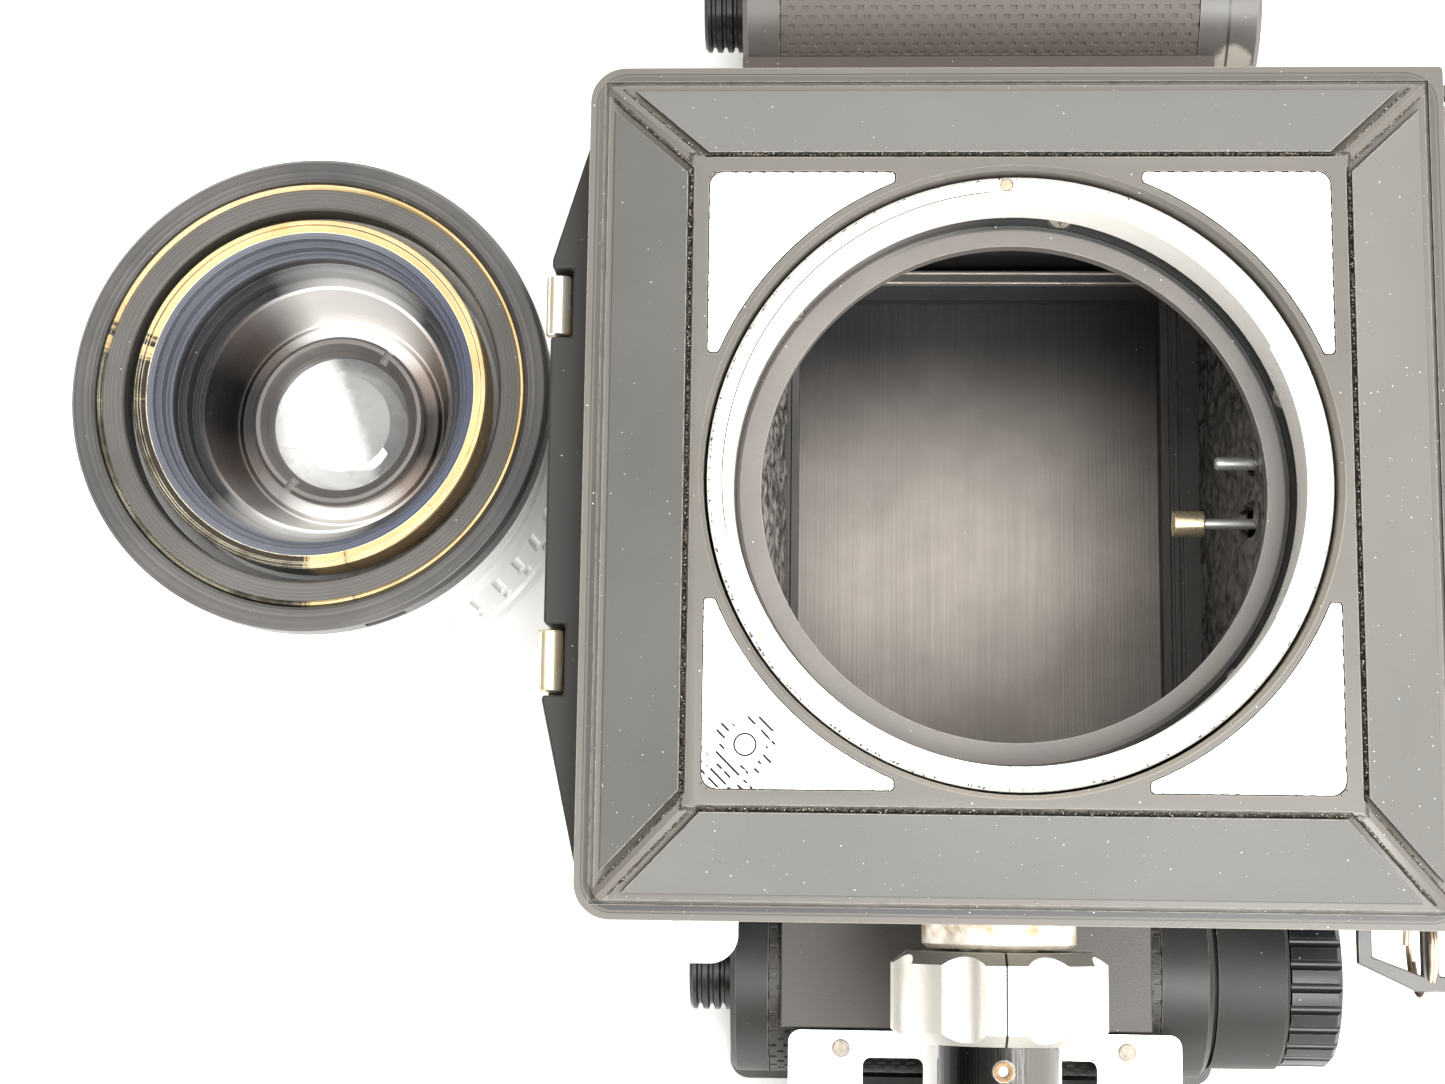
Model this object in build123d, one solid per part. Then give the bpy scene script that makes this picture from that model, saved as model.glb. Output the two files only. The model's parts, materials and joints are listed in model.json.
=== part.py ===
from build123d import *
import os
from math import cos, degrees, pi, radians, sin, sqrt

# A medium-format rangefinder press camera lying on its back, front up, with its lens taken off and stood
# rear-up beside it. Millimetres. +Z is up, out of the throat; +X is the camera's top, where its finder is.
# The origin is on the throat's axis, on the surface that the camera lies on.

os.makedirs("parts", exist_ok=True)

# Clearances
SEAT_GAP = 0.15      # round a piece that is set into a pocket
TURN_GAP = 0.3       # radial, round a piece that turns freely
PIN_GAP = 0.05       # radial, running fit of a pin or shaft
SLIDE_GAP = 0.3      # each side of a sliding piece

# Front frame
FRONT_Z = 106.0      # height of the raised square face
FRAME_HALF = 54.4    # half the frame's outside
FACE_HALF = 40.5     # half the raised square
RIM = 2.4            # flat rim round the slopes
SLOPE_FALL = 6.0     # the slopes fall this far to the rim
RIM_DEPTH = 7.0      # thickness of the rim's edge
BASE_STEP = 3.0      # spacer step under the rim
SLOPE_FOOT = FRAME_HALF - RIM
RIM_Z = FRONT_Z - SLOPE_FALL
FRAME_BACK_Z = RIM_Z - RIM_DEPTH - BASE_STEP
FRAME_CORNER_R = 4.5
FRAME_SHARP_R = 0.6
PANEL_T = 1.0        # trim panels, measured along Z
PANEL_GROOVE = 0.8
MITRE_HALF = 1.0     # half the strip left between two trim panels
CORNER_PLATE_HALF = 38.5
CORNER_PLATE_ARC_R = 40.3
CORNER_PLATE_TIP = 15.4
CORNER_PLATE_T = 0.8
CORNER_PLATE_DEPTH = 0.7

# Throat and lock ring
THROAT_R = 32.0
THROAT_LIP_T = 2.0
THROAT_RELIEF_R = 34.2
SEAT_R = 35.1
FLANGE_R = 38.6
FRAME_BORE_R = 38.9
SEAT_Z = FRONT_Z - 10.7
FLANGE_T = 4.0
THROAT_TUBE_R = 36.3
THROAT_DEPTH = 7.3   # from the lens seat to the back of the throat ring
LOCK_R = 38.5
LOCK_IN_R = SEAT_R + TURN_GAP
LOCK_STEP_R = 36.4
LOCK_STEP_T = 1.0
LOCK_WALL_Z = SEAT_Z + 1.5
LOCK_Z = FRONT_Z - 1.7
LOCK_CUTS = 3
LOCK_CUT_DEG = 56.5

# Body
BODY_HALF = 50.0
BODY_BACK_Z = 30.0
WALL = 3.0
CHAMBER_X = 36.5
CHAMBER_Y = 46.0
FRONT_WALL = 4.0
LINER_T = 3.0
GATE_X = 28.0        # half the film gate, across the film
GATE_Y = 42.0        # half the film gate, along the film
GATE_T = 1.6
RAIL_W = 2.4
RAIL_H = 8.4

# Rangefinder coupling
PIN_R = 0.9
PIN_Y = 7.5
PIN_Z = 75.0
PIN_TIP_X = 28.9
ARM_Y = 0.0
ARM_Z = 70.0
ARM_PIVOT_X = 43.0
ARM_PIN_R = 1.0
ROLLER_R = 1.8
ROLLER_X = (23.8, 28.0)

# Underside base
BASE_OUT = 9.8       # how far the base block stands out of the body
BASE_TOP_Z = RIM_Z - RIM_DEPTH - 0.5
BASE_BOTTOM_Z = 38.0
SOCKET_R = 2.6
SOCKET_OUT_R = 6.0
SOCKET_DEPTH = 8.0
SOCKET_Y = -20.5
SOCKET_Z = 55.0
FOOT_R = 1.7
FOOT_LEN = 8.0
FOOT_Y = (25.2, -21.7)

# Finder housing
FINDER_X = 84.0
FINDER_Z = RIM_Z - 2.0
FINDER_BACK_Z = 34.0
FINDER_HALF_Y = 51.0
FINDER_SPLIT = 0.4
FINDER_WALL = 2.5
WINDOW_Y = 30.0
EYEPIECE_R = 9.0
SHOE_W = 22.0
SHOE_SLOT_W = 18.8
SHOE_SLOT_T = 2.2
SHOE_L = 20.0

# Grip
GRIP_Z = 67.0
COLLAR_R = 10.4
NUT_R = 14.6
NUT_LEN = 12.0
NUT_LOBES = 8
TUBE_R = 8.3
TUBE_END_Y = -98.0
HANDLE_LEN = 104.0
HANDLE_Y = -112.0
HANDLE_W = 30.0      # along Y
HANDLE_H = 38.0      # along Z

# Film back
DOOR_T = 2.8
DOOR_GAP = 0.3       # between the closed door and the film chambers
DRUM_R = 15.4
SKIN_T = 0.5         # leatherette on the film chambers
DRUM_OUT_R = DRUM_R + SKIN_T
AXIS_Z = DOOR_T + DOOR_GAP + DRUM_OUT_R  # spool axes
BODY_GAP = 0.38      # between the take-up chamber and the casting's lower edge
TAKEUP_Y = -BODY_HALF - sqrt((DRUM_OUT_R + BODY_GAP) ** 2 - (BODY_BACK_Z - AXIS_Z) ** 2)
SUPPLY_Y = 94.0
DRUM_WALL = 1.4
DRUM_X = (-37.6, 34.2)
SUPPLY_X = (-37.6, 44.7)
SPOOL_LEN = 65.5
SPOOL_FLANGE_R = 12.5
FILM_R = (9.5, 11.0)  # wound film on the take-up and the supply spool
KNOB_R = 6.7
KNOB_LEN = 6.4
HUB_R = 14.5
HUB_X = (35.0, 45.6)
WIND_R = 14.0
WIND_LEN = 7.6
WIND_RIBS = 26
MAG_X = 37.6
SADDLE = 4.0         # how far the magazine frame wraps onto each chamber
SLIDE_T = 1.0
SLIDE_Z = 26.0
SLIDE_HALF_Y = 43.6
PLATE_T = 1.6
LOAD_HALF = 12.9
LOAD_Z = 10.0
SHAFT_R = 3.0

# Lock lever of the film back
LEVER_X = -45.0
LEVER_Y = -53.4
LEVER_Z = 44.0
LEVER_PIN_R = 1.5

# Strap lugs
LUG_X = 56.0
LUG_Z = 73.0
LUG_T = 1.6
LUG_OUT = 11.5
LUG_HALF = 9.4
LUG_BAR = 2.2        # width of the bar that the ring hangs on
RING_R = 6.5
RING_WIRE_R = 0.95

# Lens
LENS_X = -98.9
LENS_Y = 20.3
LENS_H = 60.0
LENS_FLANGE_R = SEAT_R - 0.1
LENS_BRASS_R = (30.7, 31.5)
LENS_GREY_R = (27.6, 30.5)
LENS_THIN_R = (25.2, 25.9)
LENS_TUBE_R = (20.2, 24.0)
LENS_BARREL_R = 32.4
LENS_CELL_R = 15.8
LENS_RETAINER_R = 13.3
LENS_GLASS_R = 10.6
LENS_BORE_R = 26.4
LENS_FILTER_R = 28.6
LENS_FILTER_DEPTH = 4.0
LENS_NECK_R = 30.4
LENS_GLASS_SEAT_R = 17.0
COCK_LEVER_DEG = 200.0
BAYONET_DEG = 50.0    # where the first of the flange's three notches stands


def block(x0, x1, y0, y1, z0, z1):
    """A box between two corners."""
    size = Box(x1 - x0, y1 - y0, z1 - z0)
    return Pos((x0 + x1) / 2, (y0 + y1) / 2, (z0 + z1) / 2) * size


def disc(r, z0, z1, x=0.0, y=0.0):
    """A cylinder along Z."""
    return Pos(x, y, (z0 + z1) / 2) * Cylinder(r, z1 - z0)


def rod_x(r, x0, x1, y, z):
    """A cylinder along X."""
    return Pos((x0 + x1) / 2, y, z) * Rot(0, 90, 0) * Cylinder(r, abs(x1 - x0))


def rod_y(r, y0, y1, x, z):
    """A cylinder along Y."""
    return Pos(x, (y0 + y1) / 2, z) * Rot(90, 0, 0) * Cylinder(r, abs(y1 - y0))


def square_frustum(low_half, high_half, z0, z1):
    """A square block whose four sides lean in."""
    low = Pos(0, 0, z0) * Rectangle(2 * low_half, 2 * low_half)
    high = Pos(0, 0, z1) * Rectangle(2 * high_half, 2 * high_half)
    return loft([low, high])


def turned(profile, x=0.0, y=0.0):
    """A solid of revolution about a vertical axis, from (radius, height) points."""
    face = make_face(Polyline([(r, 0, z) for r, z in profile], close=True))
    return Pos(x, y, 0) * revolve(face, Axis.Z, 360)


def turned_x(profile, y, z):
    """A solid of revolution about an axis along X, from (x, radius) points."""
    face = make_face(Polyline([(x, r, 0) for x, r in profile], close=True))
    return Pos(0, y, z) * revolve(face, Axis.X, 360)


def turned_y(profile, x, z):
    """A solid of revolution about an axis along Y, from (y, radius) points."""
    face = make_face(Polyline([(r, y, 0) for y, r in profile], close=True))
    return Pos(x, 0, z) * revolve(face, Axis.Y, 360)


def save(name, shape):
    """Write one node."""
    shape.label = name
    export_step(shape, f"parts/{name}.step")


# ---------------------------------------------------------------- front frame

def panel_prism(inner, outer, mitre, z0, z1):
    """The four-sided outline of the +Y trim panel, as a prism."""
    points = [
        (-(inner - mitre), inner),
        (inner - mitre, inner),
        (outer - mitre, outer),
        (-(outer - mitre), outer),
    ]
    return Pos(0, 0, z0) * extrude(make_face(Polyline(points, close=True)), z1 - z0)


def four_ways(shape):
    """The shape and its three quarter turns about the throat's axis."""
    return [Rot(0, 0, 90 * turn) * shape for turn in range(4)]


def corner_outline(grow):
    """A corner plate's outline: square outside, cut by the round of the throat."""
    half = CORNER_PLATE_HALF + grow
    tip = CORNER_PLATE_TIP - grow
    face = Pos(half / 2, half / 2) * Rectangle(half, half)
    face -= Circle(CORNER_PLATE_ARC_R - grow)
    face -= Pos(half, tip / 2) * Rectangle(2 * half, tip)
    face -= Pos(tip / 2, half) * Rectangle(tip, 2 * half)
    corners = [v for v in face.vertices() if v.X > half - 0.01 and v.Y > half - 0.01]
    face = fillet(corners, 1.8)
    tips = [v for v in face.vertices() if min(v.X, v.Y) < tip + 0.01]
    return fillet(tips, 0.5)


def make_front():
    """The frame and what is let into it."""
    slope = square_frustum(SLOPE_FOOT, FACE_HALF, RIM_Z, FRONT_Z)
    rim = extrude(Rectangle(2 * FRAME_HALF, 2 * FRAME_HALF), RIM_DEPTH)
    rim = Pos(0, 0, RIM_Z - RIM_DEPTH) * rim
    uprights = rim.edges().filter_by(Axis.Z)
    rim = fillet(uprights.filter_by(lambda e: e.center().X < 0), FRAME_CORNER_R)
    uprights = rim.edges().filter_by(Axis.Z)
    rim = fillet(uprights.filter_by(lambda e: e.center().X > FRAME_HALF - 1), FRAME_SHARP_R)
    base = block(-BODY_HALF, BODY_HALF, -BODY_HALF, BODY_HALF, FRAME_BACK_Z, RIM_Z - RIM_DEPTH)
    frame = rim + slope + base

    # Groove and fine ridge that run round just inside the rim.
    channel = Rectangle(2 * SLOPE_FOOT + 1.0, 2 * SLOPE_FOOT + 1.0)
    channel -= Rectangle(2 * SLOPE_FOOT, 2 * SLOPE_FOOT)
    frame -= Pos(0, 0, RIM_Z - 0.6) * extrude(channel, 2)

    # Pockets: a layer just under the slopes, inside each panel's outline.
    layer = slope - Pos(0, 0, -PANEL_T) * slope
    layer -= block(-FACE_HALF, FACE_HALF, -FACE_HALF, FACE_HALF, 0, FRONT_Z + 1)
    pocket_mitre = MITRE_HALF * sqrt(2)
    panel_mitre = (MITRE_HALF + PANEL_GROOVE) * sqrt(2)
    pocket = panel_prism(FACE_HALF, SLOPE_FOOT, pocket_mitre, RIM_Z - 2, FRONT_Z + 2)
    panel = panel_prism(FACE_HALF + PANEL_GROOVE, SLOPE_FOOT - PANEL_GROOVE, panel_mitre,
                        RIM_Z - 2, FRONT_Z + 2)
    for cut in four_ways(layer & pocket):
        frame -= cut
    panels = four_ways(layer & panel)

    # Bright corner plates stand a little proud of the raised face.
    plate_z = FRONT_Z - CORNER_PLATE_DEPTH
    pocket = Pos(0, 0, plate_z) * extrude(corner_outline(SEAT_GAP), 5)
    for cut in four_ways(pocket):
        frame -= cut
    plate = Pos(0, 0, plate_z) * extrude(corner_outline(0), CORNER_PLATE_T)
    plates = four_ways(plate)

    frame -= disc(FRAME_BORE_R, FRAME_BACK_Z - 1, FRONT_Z + 1)
    frame -= turned([(0, FRONT_Z - 0.5), (FRAME_BORE_R, FRONT_Z - 0.5),
                     (FRAME_BORE_R + 0.6, FRONT_Z + 0.1), (0, FRONT_Z + 0.1)])
    save("front_frame", frame)
    save("trim_panels", Compound(panels))
    save("corner_plates", Compound(plates))


# ---------------------------------------------------------------- throat and lock ring

def make_throat():
    """The fixed lens seat and the chrome ring that turns round it; gives the seat's screws."""
    flange_z = FRAME_BACK_Z
    top_z = flange_z + FLANGE_T
    back_z = SEAT_Z - THROAT_DEPTH
    seat = turned([
        (THROAT_RELIEF_R, back_z), (THROAT_TUBE_R, back_z), (THROAT_TUBE_R, flange_z),
        (FLANGE_R, flange_z), (FLANGE_R, top_z), (SEAT_R, top_z), (SEAT_R, SEAT_Z - 0.4),
        (SEAT_R - 0.4, SEAT_Z), (THROAT_R, SEAT_Z), (THROAT_R, SEAT_Z - THROAT_LIP_T),
        (THROAT_RELIEF_R, SEAT_Z - THROAT_LIP_T - 2.2),
    ])
    holes = PolarLocations((SEAT_R + FLANGE_R) / 2, 6, start_angle=20)
    screws = []
    for place in holes:
        head = Pos(0, 0, top_z - 1.6) * place * Cylinder(1.5, 1.6, align=(Align.CENTER, Align.CENTER, Align.MIN))
        stem = Pos(0, 0, top_z - 7.6) * place * Cylinder(0.9, 6.2, align=(Align.CENTER, Align.CENTER, Align.MIN))
        slot = Pos(0, 0, top_z) * place * Box(3.2, 0.5, 1.0)
        room = Pos(0, 0, top_z - 1.6) * place * Cylinder(1.6, 3, align=(Align.CENTER, Align.CENTER, Align.MIN))
        bore = Pos(0, 0, top_z - 8) * place * Cylinder(1.0, 9, align=(Align.CENTER, Align.CENTER, Align.MIN))
        seat -= room + bore
        screws.append(head + stem - slot)
    save("throat_ring", seat)

    low_z = top_z + TURN_GAP
    step_z = LOCK_Z - LOCK_STEP_T
    lock = turned([
        (LOCK_STEP_R, low_z), (LOCK_R, low_z), (LOCK_R, LOCK_Z - 0.5), (LOCK_R - 0.5, LOCK_Z),
        (LOCK_IN_R + 0.3, LOCK_Z), (LOCK_IN_R, LOCK_Z - 0.3), (LOCK_IN_R, LOCK_WALL_Z),
        (LOCK_STEP_R, LOCK_WALL_Z - 0.6),
    ])
    sector = turned([(LOCK_IN_R - 1, step_z), (LOCK_STEP_R, step_z),
                     (LOCK_STEP_R, LOCK_Z + 1), (LOCK_IN_R - 1, LOCK_Z + 1)])
    reach = 2 * LOCK_R
    half = radians(LOCK_CUT_DEG / 2)
    wedge = make_face(Polyline([(0, 0), (reach * cos(half), -reach * sin(half)),
                                (reach * cos(half), reach * sin(half))], close=True))
    wedge = Pos(0, 0, low_z) * extrude(wedge, LOCK_Z)
    for index in range(LOCK_CUTS):
        lock -= Rot(0, 0, 360 / LOCK_CUTS * index) * (sector & wedge)
    stop_r = (LOCK_STEP_R + LOCK_R) / 2
    stop_x, stop_y = stop_r * cos(radians(92)), stop_r * sin(radians(92))
    lock -= disc(0.85, LOCK_Z - 0.8, LOCK_Z + 1, stop_x, stop_y)
    save("lock_ring", lock)
    return screws


# ---------------------------------------------------------------- body

def make_body():
    """The casting, its chamber's liners and the film gate."""
    top = FRAME_BACK_Z
    casting = block(-BODY_HALF, BODY_HALF, -BODY_HALF, BODY_HALF, BODY_BACK_Z, top)
    casting = fillet(casting.edges().filter_by(Axis.Z), 2.0)
    inside_top = top - FRONT_WALL
    casting -= block(-CHAMBER_X, CHAMBER_X, -CHAMBER_Y, CHAMBER_Y, BODY_BACK_Z - 1, inside_top)
    pocket_in, pocket_out = CHAMBER_X + 2.0, BODY_HALF - WALL
    for side in (-1, 1):
        edges = sorted((side * pocket_in, side * pocket_out))
        casting -= block(*edges, -CHAMBER_Y, CHAMBER_Y, BODY_BACK_Z + 4, inside_top)
    casting -= disc(THROAT_TUBE_R + 0.1, inside_top - 1, top + 1)
    for place in PolarLocations((SEAT_R + FLANGE_R) / 2, 6, start_angle=20):
        casting -= Pos(0, 0, top - 5) * place * Cylinder(1.0, 12)
    # Slot for the coupling arm and bore for the coupling pin, through the wall on the finder's side.
    casting -= block(CHAMBER_X - 1, pocket_in + 1, ARM_Y - 2.2, ARM_Y + 2.2, ARM_Z - 5, ARM_Z + 5)
    casting -= rod_x(PIN_R + 0.2, CHAMBER_X - 1, pocket_in + 1, PIN_Y, PIN_Z)
    # Seat bore for the grip collar, ears for the coupling arm's pin and the lock lever's boss.
    casting -= rod_y(COLLAR_R - 3 + 0.1, -BODY_HALF - 1, -CHAMBER_Y + 1, 0, GRIP_Z)
    for side in (-1, 1):
        low, high = sorted((ARM_Y + side * 2.4, ARM_Y + side * 5.0))
        casting += block(ARM_PIVOT_X - 1.6, BODY_HALF - WALL, low, high, ARM_Z - 1.6, ARM_Z + 1.6)
    casting += rod_y(ARM_PIN_R, ARM_Y - 5, ARM_Y + 5, ARM_PIVOT_X, ARM_Z)
    casting += block(-BODY_HALF, LEVER_X + 3, -BODY_HALF - 7, -BODY_HALF + 0.1, LEVER_Z - 4, LEVER_Z - 0.3)
    casting += disc(LEVER_PIN_R, LEVER_Z - 1, LEVER_Z + 2.6, LEVER_X, LEVER_Y)
    save("body_casting", casting)

    liner_z = (BODY_BACK_Z + GATE_T + 0.4, inside_top - 0.5)
    left = block(-CHAMBER_X, -CHAMBER_X + LINER_T, -CHAMBER_Y + 1, CHAMBER_Y - 1, *liner_z)
    right = block(CHAMBER_X - LINER_T, CHAMBER_X, -CHAMBER_Y + 1, CHAMBER_Y - 1, *liner_z)
    right -= block(CHAMBER_X - 5, CHAMBER_X + 1, ARM_Y - 2.2, ARM_Y + 2.2, ARM_Z - 5, ARM_Z + 5)
    right -= rod_x(PIN_R + 0.3, CHAMBER_X - 5, CHAMBER_X + 1, PIN_Y, PIN_Z)
    save("chamber_liners", Compound([left, right]))

    gate = block(-CHAMBER_X + 0.2, CHAMBER_X - 0.2, -CHAMBER_Y + 0.2, CHAMBER_Y - 0.2,
                 BODY_BACK_Z, BODY_BACK_Z + GATE_T)
    gate -= block(-GATE_X, GATE_X, -GATE_Y, GATE_Y, BODY_BACK_Z - 1, BODY_BACK_Z + 5)
    rail_x = CHAMBER_X - LINER_T - 0.4
    for side in (-1, 1):
        low, high = sorted((side * GATE_Y, side * (GATE_Y + RAIL_W)))
        gate += block(-rail_x, rail_x, low, high, BODY_BACK_Z, BODY_BACK_Z + RAIL_H)
        for groove in (1.2, 2.6):
            low, high = sorted((side * (GATE_X + groove), side * (GATE_X + groove + 0.6)))
            gate -= block(low, high, -GATE_Y, GATE_Y, BODY_BACK_Z + GATE_T - 0.5, BODY_BACK_Z + 3)
    save("film_gate", gate)


def make_coupling():
    """What the lens's cam pushes: a roller on a sprung arm, and the fixed pin beside it."""
    pin = rod_x(PIN_R, PIN_TIP_X, CHAMBER_X + 6, PIN_Y, PIN_Z)
    pin = chamfer(pin.edges().sort_by(Axis.X)[0], 0.25)
    pin += rod_x(2.0, CHAMBER_X + 2.0, CHAMBER_X + 6, PIN_Y, PIN_Z)
    save("coupling_pin", pin)
    arm = rod_x(0.75, ROLLER_X[0] + 0.6, ARM_PIVOT_X, ARM_Y, ARM_Z)
    boss = rod_y(2.6, ARM_Y - 1.8, ARM_Y + 1.8, ARM_PIVOT_X, ARM_Z)
    arm = arm + boss - rod_y(ARM_PIN_R + PIN_GAP, ARM_Y - 3, ARM_Y + 3, ARM_PIVOT_X, ARM_Z)
    save("coupling_arm", arm)
    roller = rod_x(ROLLER_R, *ROLLER_X, ARM_Y, ARM_Z)
    roller = fillet(roller.edges(), 0.25)
    roller -= rod_x(0.75 + PIN_GAP, ROLLER_X[0] + 0.5, ROLLER_X[1] + 1, ARM_Y, ARM_Z)
    save("coupling_roller", roller)


# ---------------------------------------------------------------- underside base

def make_base():
    """The block under the camera (on the -X side), its chrome feet and the tripod socket."""
    inner, outer = -BODY_HALF, -BODY_HALF - BASE_OUT
    outline = [(inner, 49.0), (inner - 4.4, 49.0), (outer, 31.0), (outer, -27.0),
               (inner - 4.8, -49.5), (inner, -49.5)]
    base = Pos(0, 0, BASE_BOTTOM_Z) * extrude(make_face(Polyline(outline, close=True)),
                                              BASE_TOP_Z - BASE_BOTTOM_Z)
    foot_z = BASE_TOP_Z - 2.6
    foot_x = outer + FOOT_R - 0.9
    feet = []
    for foot_y in FOOT_Y:
        low, high = foot_y - FOOT_LEN / 2, foot_y + FOOT_LEN / 2
        base -= block(outer - 2, foot_x + FOOT_R + 0.3, low - 0.6, high + 0.6,
                      foot_z - 4.2, BASE_TOP_Z + 1)
        foot = rod_y(FOOT_R, low, high, foot_x, foot_z)
        foot = fillet(foot.edges(), 0.3)
        foot += block(foot_x - 0.6, foot_x + FOOT_R - 0.2, low + 0.8, high - 0.8, foot_z - 4.2, foot_z)
        feet.append(foot)
    base -= rod_x(SOCKET_OUT_R, outer - 1, inner + 1, SOCKET_Y, SOCKET_Z)
    save("base_block", base)
    save("base_feet", Compound(feet))
    socket_x = outer + 0.4
    socket = rod_x(SOCKET_OUT_R, socket_x, inner, SOCKET_Y, SOCKET_Z)
    socket -= rod_x(SOCKET_R, socket_x - 1, socket_x + SOCKET_DEPTH, SOCKET_Y, SOCKET_Z)
    save("tripod_socket", socket)


# ---------------------------------------------------------------- finder

def make_finder():
    """The finder housing on the camera's top (the +X side), with its glasses and shoe; gives the screws."""
    low_x = BODY_HALF + 0.2
    face_x = FRAME_HALF + FINDER_SPLIT
    shell = block(low_x, FINDER_X, -FINDER_HALF_Y, FINDER_HALF_Y, FINDER_BACK_Z, FRAME_BACK_Z)
    shell += block(face_x, FINDER_X, -FINDER_HALF_Y, FINDER_HALF_Y, FRAME_BACK_Z - 1, FINDER_Z)
    shell = fillet(shell.edges().filter_by(Axis.Y).sort_by(Axis.X)[-2:], 4.0)
    ends = shell.edges().filter_by(Axis.Z).sort_by(Axis.X)[-2:]
    shell = fillet(ends, 4.0)
    hollow_z = (FINDER_BACK_Z + FINDER_WALL, FINDER_Z - FINDER_WALL - 3.5)
    shell -= block(face_x + FINDER_WALL, FINDER_X - FINDER_WALL, -FINDER_HALF_Y + FINDER_WALL,
                   FINDER_HALF_Y - FINDER_WALL, *hollow_z)
    mid_x = (face_x + FINDER_X) / 2
    # Viewfinder, bright-line and rangefinder windows: place along Y, width and height.
    panes = []
    for y, wide, tall in ((WINDOW_Y, 21.0, 17.0), (4.0, 17.0, 13.0), (-30.0, 10.0, 9.0)):
        room = block(mid_x - tall / 2, mid_x + tall / 2, y - wide / 2, y + wide / 2,
                     FINDER_Z - 2.2, FINDER_Z + 1)
        room = fillet(room.edges().filter_by(Axis.Z), 1.4)
        through = block(mid_x - tall / 2 + 1.2, mid_x + tall / 2 - 1.2, y - wide / 2 + 1.2,
                        y + wide / 2 - 1.2, FINDER_Z - 8, FINDER_Z)
        shell -= room + through
        edge = SEAT_GAP
        glass = block(mid_x - tall / 2 + edge, mid_x + tall / 2 - edge, y - wide / 2 + edge,
                      y + wide / 2 - edge, FINDER_Z - 2.2, FINDER_Z - 0.8)
        glass = fillet(glass.edges().filter_by(Axis.Z), 1.25)
        panes.append(glass)
    shell -= disc(EYEPIECE_R - 1.5, FINDER_BACK_Z - 1, FINDER_BACK_Z + FINDER_WALL + 1, mid_x, WINDOW_Y)
    bezel = turned([
        (EYEPIECE_R - 3.0, FINDER_BACK_Z - 2.4), (EYEPIECE_R, FINDER_BACK_Z - 2.4),
        (EYEPIECE_R, FINDER_BACK_Z), (EYEPIECE_R - 1.6, FINDER_BACK_Z),
        (EYEPIECE_R - 1.6, FINDER_BACK_Z + 2.0), (EYEPIECE_R - 3.0, FINDER_BACK_Z + 2.0),
    ], mid_x, WINDOW_Y)
    save("eyepiece_bezel", bezel)
    panes.append(disc(EYEPIECE_R - 3.0, FINDER_BACK_Z - 0.6, FINDER_BACK_Z + 1.0, mid_x, WINDOW_Y))
    save("finder_glasses", Compound(panes))

    # Accessory shoe: a channel open towards the camera's back, with lips over its two sides.
    shoe_z = (FINDER_BACK_Z + 14, FINDER_BACK_Z + 14 + SHOE_L)
    half, slot = SHOE_W / 2, SHOE_SLOT_W / 2
    shoe = block(FINDER_X, FINDER_X + 5.6, -half, half, *shoe_z)
    shoe -= block(FINDER_X + 2.0, FINDER_X + 2.0 + SHOE_SLOT_T, -slot, slot, shoe_z[0] - 1, shoe_z[1] - 1.5)
    shoe -= block(FINDER_X + 3.0, FINDER_X + 8, -slot + 3.2, slot - 3.2, shoe_z[0] - 1, shoe_z[1] - 1.5)
    screws = []
    for y, z in ((-5, 6), (5, 6), (-5, 14), (5, 14)):
        head_x = FINDER_X + 2.0
        shoe -= rod_x(1.6, FINDER_X + 0.9, head_x + 1, y, shoe_z[0] + z)
        shoe -= rod_x(0.9, FINDER_X - 1, head_x + 1, y, shoe_z[0] + z)
        shell -= rod_x(0.9, FINDER_X - FINDER_WALL - 1, FINDER_X + 1, y, shoe_z[0] + z)
        screw = rod_x(1.45, FINDER_X + 0.9, head_x - 0.1, y, shoe_z[0] + z)
        screw += rod_x(0.8, FINDER_X - 2.0, FINDER_X + 1, y, shoe_z[0] + z)
        screw -= Pos(head_x - 0.1, y, shoe_z[0] + z) * Box(0.8, 0.4, 3.2)
        screws.append(screw)
    save("accessory_shoe", shoe)
    save("finder_housing", shell)
    return screws


# ---------------------------------------------------------------- strap lugs

def lug_outline():
    """A lug seen from the front: a tapering plate with two windows and a bar between them."""
    root, tip = FINDER_HALF_Y, FINDER_HALF_Y + LUG_OUT
    wide, eye, bar = LUG_HALF, LUG_HALF - 1.8, LUG_BAR / 2
    body = make_face(Polyline([(LUG_X - wide, root), (LUG_X + wide, root), (LUG_X + wide, tip - 3.5),
                               (LUG_X + 4.0, tip), (LUG_X - 2.0, tip), (LUG_X - wide, tip - 3.5)],
                              close=True))
    low, high = root + 2.0, tip - 2.0
    left = make_face(Polyline([(LUG_X - eye, low), (LUG_X - bar, low), (LUG_X - bar, high),
                               (LUG_X - eye, high - 2.4)], close=True))
    right = make_face(Polyline([(LUG_X + bar, low), (LUG_X + eye, low), (LUG_X + eye, high - 2.0),
                                (LUG_X + 3.6, high), (LUG_X + bar, high)], close=True))
    return body - left - right


def make_lugs():
    """Two strap lugs screwed to the finder housing's ends, each with a split ring on its bar."""
    bottom = LUG_Z - LUG_T / 2
    lug = Pos(0, 0, bottom) * extrude(lug_outline(), LUG_T)
    save("strap_lugs", Compound([lug, mirror(lug, Plane.XZ)]))
    mid_y = FINDER_HALF_Y + LUG_OUT / 2
    hang_z = LUG_Z + LUG_T / 2 + RING_WIRE_R + 0.35 - RING_R
    for name, side in (("strap_ring_lower", -1), ("strap_ring_upper", 1)):
        hoop = Pos(LUG_X, side * mid_y, hang_z) * Rot(90, 0, 0) * Torus(RING_R, RING_WIRE_R)
        save(name, hoop)


# ---------------------------------------------------------------- grip

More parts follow.
